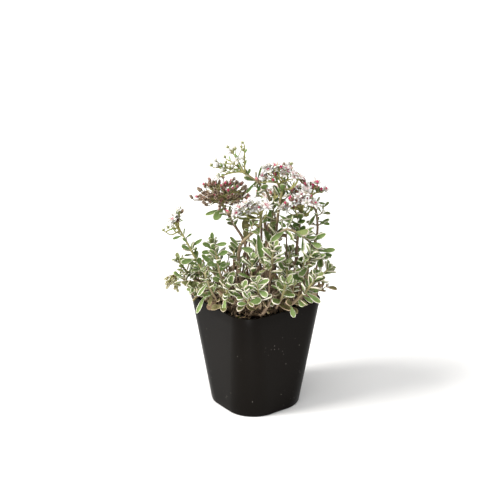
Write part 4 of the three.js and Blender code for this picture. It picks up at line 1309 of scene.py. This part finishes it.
def petals(shape, place, flower, count, spin, radii, rises, width, thick, *colours):
    """A ring of blades that run out from the flower's middle through the given radii and rises.
    These and the width are for a flower of size 1, and spin is how far the ring is turned in it."""
    size = flower["size"]
    radii, rises = size * np.array(radii), flower["stalk"] + size * np.array(rises)
    swell = np.sin(math.pi * np.linspace(0.12, 0.97, len(radii)) ** 0.85)
    for i in range(count):
        out = level(flower["spin"] + spin + 2 * math.pi * i / count)
        line = np.multiply.outer(radii, out) + np.multiply.outer(rises, UP)
        shape.tube(line, width * size * swell, 4, *colours, place=place, thicks=thick * swell,
                   across=cross(UP, out))


def open_flower(shape, place, flower, draw):
    size, spin, foot = flower["size"], flower["spin"], flower["stalk"]
    radii, rises = (0.4, 1.3, 2.6, 3.9, 5.0 + 0.6 * draw()), (0.8, 1.8, 2.6, 3.1, 3.2 + 0.7 * draw())
    tip = BLUSH if draw() < 0.4 else WHITE
    petals(shape, place, flower, 5, 0, radii, rises, 1.4, 0.16, CALYX, WHITE, WHITE, tip)
    petals(shape, place, flower, 5, BETWEEN, (0.3, 0.9, 1.5), (0.4, 1.0, 2.2), 0.5, 0.25, CALYX)
    ripe = draw()
    rosy = flower["rosy"]
    heart = ((ROSE, MAGENTA, MAGENTA) if ripe < 0.4 * rosy else (CALYX, BLUSH, ROSE) if ripe < 0.7 * rosy
             else (CALYX, (0.5, 0.52, 0.3), WHITE))
    petals(shape, place, flower, 5, BETWEEN, (0.35, 0.6, 0.8, 1.0), (0.7, 1.7, 2.7, 3.4), 0.4, 0.4, *heart)
    anther = SPENT_RED if draw() < 0.2 * rosy else ROSE if draw() < 0.4 * rosy else (0.66, 0.58, 0.48)
    for i in range(10):
        out = level(spin + 0.3 + 2 * math.pi * i / 10)
        line = [UP * (foot + 1.0 * size) + out * 0.8 * size, UP * (foot + 2.6 * size) + out * 1.3 * size,
                UP * (foot + 3.7 * size) + out * (1.6 + 0.4 * draw()) * size]
        shape.tube(line, 0.11, 3, WHITE, place=place)
        knob = [line[2] + UP * rise for rise in (-0.2, 0.1, 0.45)]
        shape.tube(knob, (0.12, 0.27, 0.1), 4, anther, place=place)


def dry_flower(shape, place, flower, draw):
    """A closed flower: a sheath of dried petals round a heart that is still rosy in some."""
    spread, chance = 0.3 * draw(), draw()
    ruddy = chance < flower.get("ruddy", 0.2)
    shade = 0.7 + 0.6 * draw()
    hues = (WITHERED, (0.36, 0.28, 0.19), (0.25, 0.15, 0.09))[int(3 * draw())]
    dull = (HUSK, tuple(shade * c for c in hues), tuple(shade * c for c in HUSK_TIP))
    if flower["pale"]:
        dull = (CALYX, (0.46, 0.43, 0.24), (0.62, 0.56, 0.42))
    sheath = (HUSK, SPENT_RED, (0.55, 0.28, 0.23)) if ruddy else dull
    petals(shape, place, flower, 5, 0, (0.4, 0.95, 1.2, 1.5 + 2 * spread),
           (0.4, 1.8, 3.4, 4.9 + 0.5 * draw()), 0.6, 0.2, *sheath)
    petals(shape, place, flower, 5, BETWEEN, (0.4, 1.2, 1.7 + spread), (0.3, 1.1, 2.7), 0.55, 0.22,
           CALYX, dull[0], HUSK_TIP)
    rosy = draw() < flower.get("rosy", 0.35)
    core = CALYX if flower["pale"] else (0.11, 0.07, 0.05)
    heart = (ROSE, MAGENTA, MAGENTA) if rosy else (core, core)
    petals(shape, place, flower, 4, 0.3, (0.3, 0.5, 0.55, 0.5), (0.8, 2.2, 3.6, 5.0 + 0.5 * draw()),
           0.95 if rosy else 0.5, 0.5, *heart)
    for i in range(2):
        curl = 0.9 * (draw() - 0.3)
        petals(shape, place, flower, 1, 3 * i + draw(), (0.5, 1.3, 2.1, 2.6 + curl),
               (0.8, 2.0, 3.2, 3.9 - curl), 0.4, 0.13, *dull)


def bud_flower(shape, place, flower, draw):
    tip = BLUSH if draw() < 0.4 else WHITE
    petals(shape, place, flower, 5, 0, (0.3, 0.6, 0.6, 0.25), (0.5, 1.6, 2.8, 4.2), 0.5, 0.35,
           CALYX, (0.5, 0.5, 0.26), tip)
    petals(shape, place, flower, 5, BETWEEN, (0.35, 1.1, 1.9, 2.5), (0.2, 0.9, 1.9, 2.6), 0.45, 0.25,
           CALYX, (0.20, 0.27, 0.07), CALYX)


# How likely a closed flower of a head is ruddy outside and rosy at its heart
CLOSED_LOOKS = {
    "head_left": {"ruddy": 0.24, "rosy": 0.16},
    "head_left_low": {"ruddy": 0.0, "rosy": 0.0},
    "head_back": {"ruddy": 0.1, "rosy": 0.4},
    "head_far_left": {"ruddy": 0.0, "rosy": 0.06},
    "head_top": {"ruddy": 0.0, "rosy": 0.04},
}


# How many flowers fill a head between its rays, and the shares of them that are open and dry
FILL_COUNTS = {"head_left": 120, "head_mid": 34, "head_right": 34, "head_tan": 22, "head_top": 12,
               "head_left_low": 14, "head_far_left": 12}
FILL_KINDS = {"head_mid": (0.5, 0.3), "head_right": (0.45, 0.45), "head_tan": (0.7, 0.2),
              "head_top": (0.15, 0.0), "head_right_outer": (0.25, 0.6), "head_far_left": (0.6, 0.1)}

# How many sagging stalks a head has
LOW_STALKS = {"head_mid": 9, "head_right": 6, "head_tan": 3, "head_far_left": 3}

# The dried head's ball of flowers: its middle from the stem's tip, and its reach each way
BALL_MIDDLE = np.array((0.0, -3.0, 9.0))
BALL_REACH = np.array((19, 14, 13))

FLOWER_MAKERS = {"open": open_flower, "dry": dry_flower, "bud": bud_flower}


def add_flower(shape, head, flower, draw):
    way = flower["way"]
    side = unit(cross(way, REFERENCE))
    other = cross(way, side)
    basis = np.array((side, other, way))

    def place(points):
        return flower["root"] + points @ basis

    spent = head["name"] == "head_left"
    flower["pale"] = head["name"] == "head_left_low"
    flower.update(CLOSED_LOOKS.get(head["name"], {"ruddy": 0.2, "rosy": 0.75}))
    foot = flower["stalk"] + 0.7 * flower["size"]
    rise = np.array(((0, 0, -0.2), (0, 0, 0.5 * foot), (0, 0, 0.8 * foot), (0, 0, foot)))
    widths = (0.34, 0.32, 0.45, 0.75 * flower["size"])
    shape.tube(rise, widths, 6, HUSK if spent else STALK, CALYX, place=place)
    FLOWER_MAKERS[flower["kind"]](shape, place, flower, draw)


def ball_spot(middle, reach, draw):
    """A point in the outer part of a ball that is open below."""
    turn, height = 2 * math.pi * draw(), 1.55 * draw() - 0.6
    flat = math.sqrt(max(1 - height * height, 0))
    share = 0.6 + 0.4 * math.sqrt(draw())
    return middle + share * reach * np.array((flat * math.cos(turn), flat * math.sin(turn), height))


def more_flowers(shape, head, stalk, draw):
    """Flowers on branchlets of their own, which fill the head between its rays."""
    made = []
    middle = head["tip"] + UP * (8 if head["name"] == "head_left" else 2)
    opened, dry = FILL_KINDS.get(head["name"], (head["open"], head["dry"]))
    hang = -0.5 if head["name"] == "head_left_low" else 0.5
    for _ in range(FILL_COUNTS.get(head["name"], 16)):
        ray, other = (head["rays"][int(len(head["rays"]) * draw())] for _ in range(2))
        s, share = 0.3 + 0.7 * math.sqrt(draw()), draw()
        spot = ray_point(head, ray, s) * (1 - share) + ray_point(head, other, s) * share
        spot = spot + UP * (3 * math.sin(math.pi * share) - 1.5 - 2.5 * draw() * (1 - s))
        if head["name"] == "head_left":
            spot = ball_spot(head["tip"] + BALL_MIDDLE, BALL_REACH, draw)
        way = unit(unit(spot - middle) + UP * hang + 0.7 * scatter(draw, 3))
        start = ray_point(head, ray, 0.45 * s)
        bow = 0.5 * (start + spot) - way * 1.5
        line = [arc(start, bow, spot, k) for k in np.linspace(0, 1, 5)]
        shape.tube(line, np.linspace(0.4, 0.3, 5), 5, stalk, CALYX)
        chance = draw()
        kind = "open" if chance < opened else "dry" if chance < opened + dry else "bud"
        made.append({"root": spot, "way": way, "kind": kind, "size": 0.66 + 0.34 * draw(), "spin": 3 * draw(),
                     "stalk": 1.0 + 1.6 * draw()})
        if kind == "open":
            made[-1]["size"] *= 1.2
    return made


def head_shape(head, index):
    draw = stream(FLOWER_SEED + index)
    shape = Shape()
    spent = head["name"] == "head_left"
    stalk = (0.18, 0.14, 0.075) if spent else STALK
    foot = [head["tip"] + head["way"] * rise for rise in (0.1, 1.5, 3.0, 1.2 + HEAD_FOOT)]
    shape.tube(foot, (0.8, 0.95, 0.95, 0.7), 8, stalk)
    for ray in head["rays"]:
        rows = 12
        line = [ray_point(head, ray, s) for s in np.linspace(0, 1, rows)]
        shape.tube(line, taper(0.8, 0.52, rows, 0.1, 2.1), 7, stalk, stalk if spent else CALYX)
        for _ in range(6 if head["name"] == "head_top" else 3):
            add_bract(shape, head, ray, draw)
    add_low_stalks(shape, head, stalk)
    for flower in head["flowers"] + more_flowers(shape, head, stalk, draw):
        add_flower(shape, head, flower, draw)
    return shape


# The side stalk of the tan stem's head, from the stem's tip
SIDE_STALK = np.array(((-1.0, 0, -11.0), (-4.5, -1.0, -7.5), (-9.5, -1.5, -4.0), (-16.0, -1.5, -1.6),
                       (-24.0, -1.5, -0.5)))


def add_low_stalks(shape, head, stalk):
    """Long stalks that sag under a head before they rise to its flowers."""
    draw = stream(STALK_SEED + len(head["name"]))
    if head["on"] == "stem_tan":
        line = [along(head["tip"] + SIDE_STALK, t) for t in np.linspace(0, 1, 17)]
        shape.tube(line, np.linspace(1.25, 0.65, 17), 8, stalk, CALYX)
    for _ in range(LOW_STALKS.get(head["name"], 0)):
        ray = head["rays"][int(len(head["rays"]) * draw())]
        start, end = head["tip"] + UP * (1 - 3 * draw()), ray_point(head, ray, 0.75 + 0.25 * draw())
        sag = 0.35 * start + 0.65 * end - UP * (6 + 7 * draw())
        line = [arc(start, sag, end, k) for k in np.linspace(0, 1, 14)]
        shape.tube(line, np.linspace(0.75, 0.42, 14), 6, stalk, CALYX)
        add_bract(shape, head, ray, draw)


def add_bract(shape, head, ray, draw):
    """A narrow small leaf on a ray."""
    root = ray_point(head, ray, 0.15 + 0.7 * draw())
    way = unit(np.array((draw() - 0.5, draw() - 0.5, 0.9 * (draw() - 0.2))))
    length = 2.5 + 3.5 * draw()
    across = unit(cross(way, REFERENCE))
    line = [root + way * length * k + UP * 0.12 * length * k * k for k in (0, 0.3, 0.65, 1)]
    widths = np.array((0.25, 0.6, 0.75, 0.2)) * length / 5
    colours = (HUSK, WITHERED) if head["dry"] > 0.6 and draw() < 0.7 else BRACT
    shape.tube(line, widths, 5, *colours, thicks=widths * 0.35, across=across)


# The studio, in metres

LIT_SPOT = (0, 0, 0.06)
FLOOR_REACH = 6.0


def add_camera():
    data = bpy.data.cameras.new("photo_camera")
    data.sensor_width = SENSOR
    data.lens = PHOTO_FOCAL / PHOTO_SIDE * SENSOR
    data.clip_start, data.clip_end = 0.05, 50
    camera = put("photo_camera", data)
    camera.location = CAMERA_SPOT * MM
    camera.rotation_mode = "QUATERNION"
    camera.rotation_quaternion = CAMERA_TURN
    bpy.context.scene.camera = camera


def add_light(name, kind, spot, power, colour, **settings):
    """A light at a spot in the plant's layout, in metres, that is aimed at the pot."""
    data = bpy.data.lights.new(name, kind)
    data.energy = power
    data.color = colour
    for setting, value in settings.items():
        setattr(data, setting, value)
    light = put(name, data)
    light.location = Vector(to_pot(np.array(spot, float)))
    light.rotation_mode = "QUATERNION"
    light.rotation_quaternion = (Vector(LIT_SPOT) - light.location).to_track_quat("-Z", "Y")
    light.visible_camera = False


def add_studio():
    world = bpy.data.worlds.new("studio")
    bpy.context.scene.world = world
    world.use_nodes = True
    sky = world.node_tree.nodes["Background"]
    sky.inputs["Color"].default_value = (1.0, 1.0, 1.0, 1)
    sky.inputs["Strength"].default_value = 0.5
    bpy.context.scene.view_settings.view_transform = "Standard"
    add_light("key", "SUN", (-1.0, -0.35, 0.95), 4.4, (1.0, 0.98, 0.95), angle=math.radians(24))
    add_light("top", "SUN", (0.1, -0.5, 1.4), 1.45, (1.0, 0.99, 0.97), angle=math.radians(50))
    add_light("corner_card", "AREA", (-0.01, -0.36, 0.02), 0.05, (0.95, 0.97, 1.0), size=0.03,
              spread=math.radians(30))
    corners = np.array(((-1, -1, 0), (1, -1, 0), (1, 1, 0), (-1, 1, 0))) * FLOOR_REACH
    floor = put("floor", mesh_of("floor", corners, [(0, 1, 2, 3)]))
    floor.data.materials.append(floor_material())


add_camera()
add_studio()
grow_plant()
for number, stem in enumerate(STEMS):
    stem["seen"] = seen_leaves(stem, number)
for number, stem in enumerate(STEMS):
    stem["extras"], stem["twig"] = grow_extras(stem, number)

leaf_look, bark, bloom, soil_look, plastic = (
    leaf_material(), bark_material(), bloom_material(), soil_material(), plastic_material())
add_pot()
make_piece("potting_mix", soil_shape(), [soil_look], "soil", "potting_soil", in_layout=False)
make_piece("dry_twigs_and_leaves", tangle_shape(), [bark, leaf_look], "soil", in_layout=False)
for number, stem in enumerate(STEMS):
    make_piece(stem["name"] + "_grown", stem_shape(stem, number), [bark, leaf_look], "foliage", stem["name"])
for number, head in enumerate(HEADS):
    finish = "spent_flowers" if head["dry"] > 0.6 else "white_flowers"
    make_piece(head["name"] + "_grown", head_shape(head, number), [bloom], finish, head["name"])
